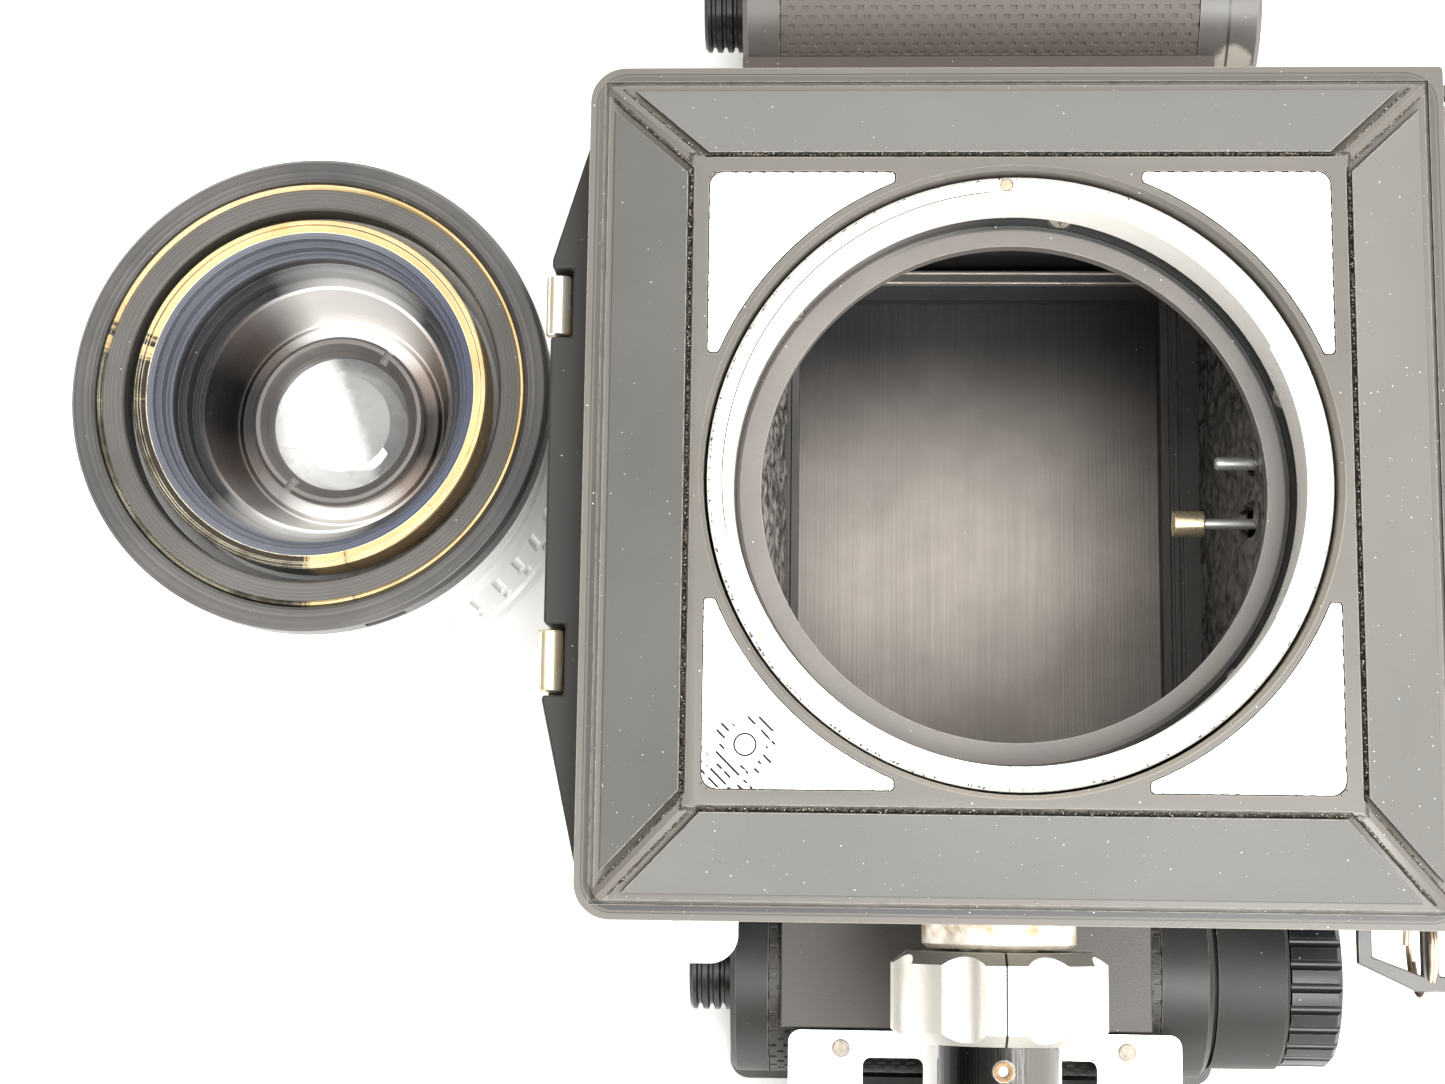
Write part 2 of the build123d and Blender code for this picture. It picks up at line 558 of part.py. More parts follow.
def make_grip():
    """Collar, clamp nut, arm and hand grip on the -Y side, with the trigger; gives the tube's screw."""
    wall_y = -BODY_HALF
    collar = turned_y([(wall_y + 3.5, 0), (wall_y + 3.5, COLLAR_R - 3), (wall_y, COLLAR_R - 3),
                       (wall_y, COLLAR_R), (wall_y - 7.2, COLLAR_R), (wall_y - 7.8, COLLAR_R - 0.6),
                       (wall_y - 7.8, 0)], 0, GRIP_Z)
    stud_y = (wall_y - 7.8, wall_y - 18.0)
    collar += rod_y(TUBE_R - 3.0, stud_y[1], stud_y[0], 0, GRIP_Z)
    save("grip_collar", collar)

    nut_y = (wall_y - 8.2, wall_y - 8.2 - NUT_LEN)
    nut = turned_y([(nut_y[0], 0), (nut_y[0], NUT_R - 2.0), (nut_y[0] - 1.6, NUT_R),
                    (nut_y[1] + 1.6, NUT_R), (nut_y[1], NUT_R - 2.0), (nut_y[1], 0)], 0, GRIP_Z)
    for lobe in range(NUT_LOBES):
        angle = radians(360 / NUT_LOBES * (lobe + 0.5))
        reach = NUT_R + 3.2
        nut -= rod_y(4.6, nut_y[1] - 1, nut_y[0] + 1, reach * cos(angle), GRIP_Z + reach * sin(angle))
    nut -= rod_y(TUBE_R - 3.0 + PIN_GAP, nut_y[1] - 1, nut_y[0] + 1, 0, GRIP_Z)
    nut -= rod_y(TUBE_R + TURN_GAP, nut_y[1] - 1, nut_y[1] + 4.0, 0, GRIP_Z)
    save("grip_nut", nut)

    tube = rod_y(TUBE_R, TUBE_END_Y, nut_y[1] + 3.6, 0, GRIP_Z)
    tube -= rod_y(TUBE_R - 3.0 + PIN_GAP, stud_y[1] - 0.3, nut_y[1] + 4, 0, GRIP_Z)
    screw_y = nut_y[1] - 3.4
    tube -= disc(1.5, GRIP_Z + TUBE_R - 2.2, GRIP_Z + TUBE_R + 1, 0, screw_y)
    save("grip_tube", tube)
    screw = disc(1.4, GRIP_Z + TUBE_R - 2.2, GRIP_Z + TUBE_R - 0.2, 0, screw_y)
    screw -= disc(0.8, GRIP_Z + TUBE_R - 0.8, GRIP_Z + TUBE_R + 1, 0, screw_y)

    # The handle runs along the camera's height; its front (+Z) face has finger hollows.
    handle = Pos(0, HANDLE_Y, GRIP_Z - 4) * Rot(0, 90, 0) * extrude(Ellipse(HANDLE_H / 2, HANDLE_W / 2),
                                                                  HANDLE_LEN / 2, both=True)
    for step in range(4):
        x = -0.3 * HANDLE_LEN + step * 0.2 * HANDLE_LEN
        handle -= rod_y(15.0, HANDLE_Y - 30, HANDLE_Y + 30, x, GRIP_Z - 4 + HANDLE_H / 2 + 12.0)
    ends = [e for e in handle.edges() if abs(abs(e.center().X) - HANDLE_LEN / 2) < 0.01]
    handle = fillet(ends, 2.5)
    handle -= rod_y(TUBE_R, TUBE_END_Y, nut_y[1], 0, GRIP_Z)
    trigger_x = 0.42 * HANDLE_LEN
    trigger_z = GRIP_Z - 4 + HANDLE_H / 2
    handle -= disc(4.5 + SLIDE_GAP, trigger_z - 14, trigger_z + 5, trigger_x, HANDLE_Y)
    save("grip_handle", handle)
    trigger = turned([(0, trigger_z - 6), (4.5, trigger_z - 6), (4.5, trigger_z + 3.4),
                      (3.6, trigger_z + 4.4), (0, trigger_z + 4.0)], trigger_x, HANDLE_Y)
    save("trigger", trigger)
    return screw


# ---------------------------------------------------------------- film back

def drum(y, x0, x1, skin_x):
    """A film chamber open below for loading and inwards for the film, and its leatherette."""
    inner = DRUM_R - DRUM_WALL
    room = SPOOL_LEN / 2 + 0.25
    collar_r = DRUM_OUT_R
    outside = turned_x([(x0, 0), (x0, collar_r - 0.8), (x0 + 0.8, collar_r), (skin_x[0], collar_r),
                        (skin_x[0], DRUM_R), (skin_x[1], DRUM_R), (skin_x[1], collar_r),
                        (x1 - 0.8, collar_r), (x1, collar_r - 0.8), (x1, 0)], y, AXIS_Z)
    outside -= rod_x(inner, -room, room, y, AXIS_Z)
    inwards = 1 if y < 0 else -1
    film_y = sorted((y, y + inwards * (DRUM_R + 5)))
    mouth = block(-room + 0.5, room - 0.5, y - LOAD_HALF, y + LOAD_HALF, 0, LOAD_Z)
    mouth += block(-room + 0.5, room - 0.5, *film_y, AXIS_Z - 6, AXIS_Z + 4)
    bore = rod_x(SHAFT_R + PIN_GAP, x0 - 1, x1 + 1, y, AXIS_Z)
    chamber = outside - mouth - bore
    skin = rod_x(DRUM_OUT_R, skin_x[0] + 0.1, skin_x[1] - 0.1, y, AXIS_Z)
    skin -= rod_x(DRUM_R, x0, x1, y, AXIS_Z)
    skin -= block(x0, x1, y - LOAD_HALF, y + LOAD_HALF, 0, LOAD_Z)
    skin -= block(x0, x1, *film_y, AXIS_Z - 6, AXIS_Z + 4)
    return chamber, skin.solids()


def spool(y, film_r, name):
    """A film spool with the film wound on it."""
    half = SPOOL_LEN / 2
    body = turned_x([(-half, 0), (-half, SPOOL_FLANGE_R), (-half + 0.8, SPOOL_FLANGE_R),
                     (-half + 0.8, film_r), (half - 0.8, film_r), (half - 0.8, SPOOL_FLANGE_R),
                     (half, SPOOL_FLANGE_R), (half, 0)], y, AXIS_Z)
    bore = SHAFT_R + PIN_GAP
    save(name, body - rod_x(bore, -half - 1, half + 1, y, AXIS_Z))


def spool_knob(y, name):
    """A pull knob whose pin holds the spool's end."""
    x1 = DRUM_X[0] - 0.2
    x0 = x1 - KNOB_LEN
    outline = [(x0, 0), (x0, KNOB_R - 0.5), (x0 + 0.5, KNOB_R)]
    for groove in range(3):
        start = x0 + 1.0 + groove * 1.75
        outline += [(start, KNOB_R), (start + 0.3, KNOB_R - 0.8), (start + 0.7, KNOB_R - 0.8),
                    (start + 1.0, KNOB_R)]
    outline += [(x1, KNOB_R), (x1, SHAFT_R), (-SPOOL_LEN / 2 + 3.5, SHAFT_R), (-SPOOL_LEN / 2 + 3.5, 0)]
    save(name, turned_x(outline, y, AXIS_Z))


def make_film_back():
    """The roll-film back: frame, dark slide, chambers, spools, winding knob and rear door."""
    inner_x = SPOOL_LEN / 2 + 0.8
    top = BODY_BACK_Z
    drum_r = DRUM_OUT_R
    ends = (TAKEUP_Y + drum_r, SUPPLY_Y - drum_r)
    frame = block(-MAG_X, MAG_X, ends[0] - SADDLE, ends[1] + SADDLE, DOOR_T + 0.2, top)
    for y in (TAKEUP_Y, SUPPLY_Y):
        frame -= rod_x(drum_r + 0.05, -60, 60, y, AXIS_Z)
        frame -= block(-60, 60, y - LOAD_HALF, y + LOAD_HALF, 0, AXIS_Z)
    frame -= block(-GATE_X, GATE_X, -GATE_Y, GATE_Y, DOOR_T - 1, top + 1)
    frame -= block(-inner_x, inner_x, ends[0] + 1.4, ends[1] - 1.4, DOOR_T - 1, SLIDE_Z - 2.6)
    frame -= block(-inner_x, inner_x, ends[0] - SADDLE - 1, ends[1] + SADDLE + 1, AXIS_Z - 6, AXIS_Z + 3.6)
    frame -= block(-GATE_X - 4, MAG_X + 1, -SLIDE_HALF_Y - SLIDE_GAP, SLIDE_HALF_Y + SLIDE_GAP,
                   SLIDE_Z - 0.15, SLIDE_Z + SLIDE_T + 0.15)
    save("magazine_frame", frame)

    slide_out = MAG_X + 9.0
    slide = block(-GATE_X - 3.4, slide_out + 1, -SLIDE_HALF_Y, SLIDE_HALF_Y, SLIDE_Z, SLIDE_Z + SLIDE_T)
    handle = block(slide_out, slide_out + 6, -16, 16, SLIDE_Z - 1.6, SLIDE_Z + SLIDE_T + 1.6)
    slide += fillet(handle.edges().filter_by(Axis.Y), 1.6)
    save("dark_slide", slide)

    takeup, takeup_skin = drum(TAKEUP_Y, *DRUM_X, (-31.9, 26.5))
    supply, supply_skin = drum(SUPPLY_Y, *SUPPLY_X, (-31.7, 34.9))
    supply += rod_x(SHAFT_R + 0.5, SPOOL_LEN / 2 + 0.25, SUPPLY_X[1] - 0.5, SUPPLY_Y, AXIS_Z)
    supply += rod_x(SHAFT_R, SPOOL_LEN / 2 - 3.5, SUPPLY_X[1] - 1.0, SUPPLY_Y, AXIS_Z)
    save("takeup_drum", takeup)
    save("supply_drum", supply)
    save("leatherette", Compound(takeup_skin + supply_skin))
    spool(TAKEUP_Y, FILM_R[0], "takeup_spool")
    spool(SUPPLY_Y, FILM_R[1], "supply_spool")
    spool_knob(TAKEUP_Y, "takeup_knob")
    spool_knob(SUPPLY_Y, "supply_knob")

    hub = turned_x([(DRUM_X[1], 0), (DRUM_X[1], HUB_R - 1.2), (HUB_X[0], HUB_R - 1.2), (HUB_X[0], HUB_R),
                    (HUB_X[1] - 0.5, HUB_R), (HUB_X[1], HUB_R - 0.5), (HUB_X[1], 0)], TAKEUP_Y, AXIS_Z)
    save("wind_hub", hub - rod_x(SHAFT_R + PIN_GAP, 0, 60, TAKEUP_Y, AXIS_Z))
    wind_x = (HUB_X[1] + TURN_GAP, HUB_X[1] + TURN_GAP + WIND_LEN)
    knob = turned_x([(wind_x[0], 0), (wind_x[0], WIND_R), (wind_x[1] - 0.8, WIND_R),
                     (wind_x[1], WIND_R - 0.8), (wind_x[1], 0)], TAKEUP_Y, AXIS_Z)
    for rib in range(WIND_RIBS):
        angle = 2 * pi * rib / WIND_RIBS
        knob -= rod_x(0.75, wind_x[0] - 1, wind_x[1] + 1, TAKEUP_Y + WIND_R * cos(angle),
                      AXIS_Z + WIND_R * sin(angle))
    shaft = rod_x(SHAFT_R, SPOOL_LEN / 2 - 3.5, wind_x[0], TAKEUP_Y, AXIS_Z)
    save("wind_knob", knob + shaft)

    # Cover over the take-up chamber, the riveted bracket beside it and the lock lever.
    cover_z = AXIS_Z + DRUM_OUT_R + 0.2
    edge_y = -BODY_HALF - 20.4
    cover = block(-30.0, 24.8, edge_y, -BODY_HALF, cover_z, cover_z + 0.9)
    cover += block(-30.0, 24.8, -BODY_HALF - 1.2, -BODY_HALF, AXIS_Z + 14.6, cover_z + 0.9)
    save("takeup_cover", cover)
    bracket = block(-28.8, 29.0, edge_y - 15.4, edge_y - 0.3, cover_z, cover_z + 1.0)
    bracket = fillet(bracket.edges().filter_by(Axis.Z).sort_by(Axis.Y)[-2:], 1.8)
    for low, high in ((-17.8, -8.9), (8.4, 16.6)):
        notch = block(low, high, edge_y - 20, edge_y - 4.2, cover_z - 1, cover_z + 2)
        bracket -= fillet(notch.edges().filter_by(Axis.Z).sort_by(Axis.Y)[-2:], 1.2)
    bracket += block(-28.8, 29.0, edge_y - 15.4, edge_y - 14.2, AXIS_Z - 6, cover_z + 0.5)
    rivets = []
    for x in (-21.0, 21.0):
        bracket -= disc(1.0, cover_z - 1, cover_z + 2, x, edge_y - 2.9)
        rivet = disc(1.35, cover_z + 1.0, cover_z + 1.5, x, edge_y - 2.9)
        rivet = fillet(rivet.edges().sort_by(Axis.Z)[-1], 0.3)
        rivets.append(rivet + disc(0.95, cover_z - 3.4, cover_z + 1.1, x, edge_y - 2.9))
    save("latch_bracket", bracket)
    save("bracket_rivets", Compound(rivets))

    lever = block(-47.6, -36.0, -BODY_HALF - 11.0, -BODY_HALF - 1.4, LEVER_Z, LEVER_Z + 2.0)
    corners = lever.edges().filter_by(Axis.Z)
    lever = fillet(corners.sort_by(lambda e: e.center().X - e.center().Y)[-1], 4.2)
    lever = fillet(lever.edges().filter_by(Axis.Z).sort_by(lambda e: e.center().X)[:2], 0.8)
    lever -= disc(LEVER_PIN_R + PIN_GAP, LEVER_Z - 1, LEVER_Z + 3, LEVER_X, LEVER_Y)
    save("back_lock_lever", lever)

    door_y = (TAKEUP_Y - DRUM_R - SKIN_T - 2.4, SUPPLY_Y + DRUM_OUT_R + 1.0)
    door = block(-MAG_X - 1, MAG_X + 1, *door_y, 0, DOOR_T)
    door = fillet(door.edges().filter_by(Axis.Z), 3.0)
    door += block(-20, 20, door_y[0], door_y[0] + 1.2, 0, 13.0)
    hinge_y, hinge_z = door_y[1] + 2.2, DOOR_T + 0.2
    fixed = rod_x(0.9, -MAG_X + 1, -MAG_X + 1 + 5 * 14.9 - 0.4, hinge_y, hinge_z)
    for index in range(5):
        x0 = -MAG_X + 1 + index * 14.9
        knuckle = rod_x(2.2, x0, x0 + 14.5, hinge_y, hinge_z)
        if index % 2 == 0:
            arm = block(x0, x0 + 14.5, door_y[1] - 0.5, hinge_y - 1.2, hinge_z - 2.2, DOOR_T)
            door += knuckle - rod_x(0.9 + PIN_GAP, x0 - 1, x0 + 16, hinge_y, hinge_z) + arm
        else:
            leaf = block(x0, x0 + 14.5, door_y[1] - 0.9, hinge_y - 1.2, hinge_z + 0.4, hinge_z + 1.9)
            leaf += block(x0, x0 + 14.5, door_y[1] - 0.9, door_y[1] + 0.1, hinge_z + 0.4, AXIS_Z)
            fixed += knuckle + leaf
    save("rear_door", door)
    save("door_hinge", fixed)
    plate_top = SLIDE_Z - 4.0
    plate = block(-31.5, 31.5, -38, 41, plate_top - PLATE_T, plate_top)
    plate = fillet(plate.edges().filter_by(Axis.Z), 2.0)
    for x in (-20, 20):
        for y in (-25, 25):
            plate += disc(3.0, DOOR_T, plate_top - PLATE_T + 0.1, x, y)
    save("pressure_plate", plate)
    catch = block(-9, 9, door_y[0] - 3.4, door_y[0] - 0.1, 3.6, 12.0)
    for groove in range(4):
        x = -4.5 + 3 * groove
        catch -= block(x - 0.5, x + 0.5, door_y[0] - 4, door_y[0] - 2.8, 3, 13)
    save("door_catch", catch)
    rollers = [rod_x(2.2, -inner_x + 0.2, inner_x - 0.2, y, SLIDE_Z - 5.4) for y in (48.0, 68.0)]
    save("film_rollers", Compound(rollers))


# ---------------------------------------------------------------- lens

def lens_turned(profile):
    """A round piece of the lens."""
    return turned(profile, LENS_X, LENS_Y)


def make_lens():
    """The interchangeable lens, standing on its front rim with its mount up."""
    top = LENS_H
    step = top - 8.0
    # Main barrel: front rim, waist for the rings, then the cone up to the mount flange.
    barrel = lens_turned([
        (LENS_BORE_R, 14.0), (LENS_NECK_R, 14.0), (LENS_NECK_R, 38.2), (LENS_BARREL_R, 38.2),
        (LENS_BARREL_R, 46.0), (LENS_FLANGE_R - 3.6, step), (LENS_FLANGE_R - 3.6, top - 6.2),
        (LENS_GREY_R[0], top - 6.2), (LENS_BORE_R, top - 9.5),
    ])
    barrel += lens_turned([(LENS_GLASS_SEAT_R, 14.0), (LENS_BORE_R + 0.1, 14.0), (LENS_BORE_R + 0.1, 20.0),
                           (LENS_GLASS_SEAT_R, 20.0)])
    flange = lens_turned([
        (LENS_BRASS_R[1], top - 6.2), (LENS_FLANGE_R - 1.0, top - 6.2), (LENS_FLANGE_R, top - 5.2),
        (LENS_FLANGE_R, top - 0.6), (LENS_FLANGE_R - 0.6, top), (LENS_BRASS_R[1] + 0.5, top),
        (LENS_BRASS_R[1], top - 0.5),
    ])
    for index in range(LOCK_CUTS):
        angle = radians(360 / LOCK_CUTS * index + BAYONET_DEG)
        x, y = LENS_X + LENS_FLANGE_R * cos(angle), LENS_Y + LENS_FLANGE_R * sin(angle)
        flange -= Pos(x, y, top - 3.1) * Rot(0, 0, degrees(angle)) * Box(2.4, 6.0, 2.6)
    save("lens_flange", flange)
    brass = lens_turned([(LENS_GREY_R[1] + 0.1, top - 6.2), (LENS_BRASS_R[1], top - 6.2),
                         (LENS_BRASS_R[1], top - 0.9), (LENS_BRASS_R[1] - 0.3, top - 0.6),
                         (LENS_GREY_R[1] + 0.4, top - 0.6), (LENS_GREY_R[1] + 0.1, top - 0.9)])
    grey = lens_turned([(LENS_GREY_R[0], top - 6.2), (LENS_GREY_R[1] + 0.1, top - 6.2),
                        (LENS_GREY_R[1] + 0.1, top - 1.2), (LENS_GREY_R[0] + 0.4, top - 1.2),
                        (LENS_GREY_R[0], top - 1.6)])
    save("lens_grey_ring", grey)

    tube_in, tube_out = LENS_TUBE_R
    tube = lens_turned([
        (tube_in - 1.2, 32.0), (tube_out, 32.0), (tube_out, top - 0.8), (tube_out - 0.9, top - 0.8),
        (tube_out - 0.9, top - 2.6), (tube_out - 1.7, top - 2.6), (tube_out - 1.7, top - 5.0),
        (tube_out - 2.6, top - 5.0), (tube_out - 2.6, top - 8.4), (tube_in, top - 8.4),
        (tube_in, top - 12.0), (tube_in - 1.2, top - 12.0),
    ])
    save("lens_rear_tube", tube)
    thin = lens_turned([(tube_out, top - 8.0), (LENS_THIN_R[1], top - 8.0), (LENS_THIN_R[1], top - 0.6),
                        (LENS_THIN_R[1] - 0.2, top - 0.4), (LENS_THIN_R[0], top - 0.4),
                        (LENS_THIN_R[0] - 0.2, top - 0.8), (tube_out, top - 0.8)])
    save("lens_brass_rings", Compound([brass, thin]))
    spacer = lens_turned([(tube_out, 34.0), (LENS_BORE_R, 34.0), (LENS_BORE_R, 44.0), (tube_out, 44.0)])
    save("lens_barrel", barrel + spacer)
    cone_r = tube_in - 1.2
    cone = lens_turned([(LENS_CELL_R, 33.0), (cone_r, 33.0), (cone_r, 47.6), (cone_r - 0.5, 47.6),
                        (LENS_CELL_R + 0.3, 37.0), (LENS_CELL_R, 37.0)])
    cone += lens_turned([(LENS_RETAINER_R, 30.0), (LENS_CELL_R + 0.2, 30.0), (LENS_CELL_R + 0.2, 36.6),
                         (LENS_CELL_R - 0.6, 37.2), (LENS_RETAINER_R, 37.2)])
    save("lens_cone", cone)
    retainer = lens_turned([(LENS_GLASS_R, 31.4), (LENS_RETAINER_R, 31.4), (LENS_RETAINER_R, 38.6),
                            (LENS_RETAINER_R - 0.5, 39.0), (LENS_GLASS_R + 1.6, 39.0),
                            (LENS_GLASS_R, 37.2)])
    for side in (0, 180):
        place = Pos(LENS_X, LENS_Y, 39.0) * Rot(0, 0, 55 + side) * Pos(LENS_RETAINER_R - 0.9, 0, 0)
        retainer -= place * Box(3.6, 1.2, 2.4)
    save("lens_retainer", retainer)
    dome = lens_turned([(0, 31.4), (LENS_GLASS_R, 31.4), (LENS_GLASS_R, 35.6), (LENS_GLASS_R * 0.72, 36.9),
                        (LENS_GLASS_R * 0.38, 37.5), (0, 37.7)])
    save("rear_element", dome)

    # Shutter section and front.
    front = lens_turned([
        (LENS_BORE_R, 6.4), (LENS_NECK_R, 6.4), (LENS_NECK_R, 14.0), (LENS_GLASS_SEAT_R, 14.0),
        (LENS_GLASS_SEAT_R, 10.0), (LENS_BORE_R, 10.0),
    ])
    front += lens_turned([(LENS_FILTER_R, 0.0), (LENS_BARREL_R, 0.0), (LENS_BARREL_R + 0.4, 0.4),
                          (LENS_BARREL_R + 0.4, 5.2), (LENS_NECK_R, 5.8), (LENS_NECK_R, 6.4),
                          (LENS_BORE_R, 6.4), (LENS_BORE_R, LENS_FILTER_DEPTH),
                          (LENS_FILTER_R, LENS_FILTER_DEPTH)])
    save("lens_front_ring", front)
    glass = lens_turned([(0, 10.2), (LENS_GLASS_SEAT_R, 10.2), (LENS_GLASS_SEAT_R, 7.4),
                         (LENS_GLASS_SEAT_R * 0.7, 5.6), (LENS_GLASS_SEAT_R * 0.35, 4.5), (0, 4.2)])
    save("front_element", Pos(0, 0, 0.6) * glass)
    sleeve_in = LENS_NECK_R + TURN_GAP
    aperture = lens_turned([(sleeve_in, 6.8), (LENS_BARREL_R, 6.8), (LENS_BARREL_R, 13.2),
                            (sleeve_in, 13.2)])
    aperture = knurl(aperture, LENS_BARREL_R, 6.8 + 1.2, 13.2 - 1.2, 40)
    save("aperture_ring", aperture)
    focus = lens_turned([(sleeve_in, 19.4), (LENS_BARREL_R + 1.0, 19.4), (LENS_BARREL_R + 1.4, 19.8),
                         (LENS_BARREL_R + 1.4, 33.4), (LENS_BARREL_R, 34.4), (LENS_BARREL_R, 37.8),
                         (sleeve_in, 37.8)])
    focus = knurl(focus, LENS_BARREL_R + 1.4, 21.2, 32.0, 48)
    save("focus_ring", focus)
    lever_z = (14.4, 18.4)
    lever = lens_turned([(sleeve_in, lever_z[0]), (LENS_BARREL_R, lever_z[0]),
                         (LENS_BARREL_R, lever_z[1]), (sleeve_in, lever_z[1])])
    arm_angle = radians(COCK_LEVER_DEG)
    reach = LENS_BARREL_R + 4.5
    arm = Pos(LENS_X + reach * cos(arm_angle), LENS_Y + reach * sin(arm_angle), sum(lever_z) / 2)
    arm = arm * Rot(0, 0, COCK_LEVER_DEG) * Box(9.6, 5.0, 3.0)
    save("cocking_lever", lever + fillet(arm.edges().filter_by(Axis.Z), 1.6))


def knurl(shape, r, z0, z1, count):
    """Cut upright flutes round a lens ring."""
    for index in range(count):
        angle = 2 * pi * index / count
        shape -= disc(0.8, z0, z1, LENS_X + (r + 0.25) * cos(angle), LENS_Y + (r + 0.25) * sin(angle))
    return shape


make_front()
body_screws = make_throat()
make_body()
make_coupling()
make_base()
body_screws += make_finder()
make_lugs()
body_screws.append(make_grip())
save("body_screws", Compound(body_screws))
make_film_back()
make_lens()
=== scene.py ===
"""A roll-film press camera on its back beside its lens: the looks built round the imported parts."""
import json
import logging
import math
import random
from dataclasses import dataclass, field, replace
from enum import Enum
from typing import Any, Callable, Optional, Sequence

import bmesh
import bpy
from mathutils import Matrix, Vector, noise

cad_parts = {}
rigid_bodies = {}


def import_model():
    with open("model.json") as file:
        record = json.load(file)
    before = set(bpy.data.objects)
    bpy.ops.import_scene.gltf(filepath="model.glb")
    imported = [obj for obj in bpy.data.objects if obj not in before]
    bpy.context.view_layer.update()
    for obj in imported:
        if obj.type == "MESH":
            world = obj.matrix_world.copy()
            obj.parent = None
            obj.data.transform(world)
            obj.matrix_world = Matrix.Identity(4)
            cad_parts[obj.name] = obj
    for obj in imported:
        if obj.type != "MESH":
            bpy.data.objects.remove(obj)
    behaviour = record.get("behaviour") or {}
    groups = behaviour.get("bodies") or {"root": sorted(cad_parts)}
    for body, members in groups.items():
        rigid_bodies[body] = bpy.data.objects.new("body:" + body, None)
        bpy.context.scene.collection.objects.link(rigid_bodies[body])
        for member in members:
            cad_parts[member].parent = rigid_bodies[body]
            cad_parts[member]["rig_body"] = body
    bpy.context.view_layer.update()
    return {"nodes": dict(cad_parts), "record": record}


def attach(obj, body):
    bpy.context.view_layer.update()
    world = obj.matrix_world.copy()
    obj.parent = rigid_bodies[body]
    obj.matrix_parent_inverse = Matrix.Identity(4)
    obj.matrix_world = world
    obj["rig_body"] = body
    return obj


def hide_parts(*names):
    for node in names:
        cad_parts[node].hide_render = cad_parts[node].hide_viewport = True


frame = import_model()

MM = 0.001
TOP_Z = 106.08  # crumbs stay under this height, in millimetres, so the corner plates stay the highest
NOISE_SEED = 5
LENS_AXIS = (-98.9, 20.3, 0.0)
MERGE = 2e-6  # vertices nearer than this, in metres, are one
CUT = 1e-8  # a plane's tolerance in metres
FACES_UP = 0.9  # a normal's height from which a face looks up
log = logging.getLogger("press_camera")
Colour = tuple[float, float, float]
Triple = tuple[float, float, float]
SOOT: Colour = (0.012, 0.012, 0.012)


# ------------------------------------------------------------------ node graphs

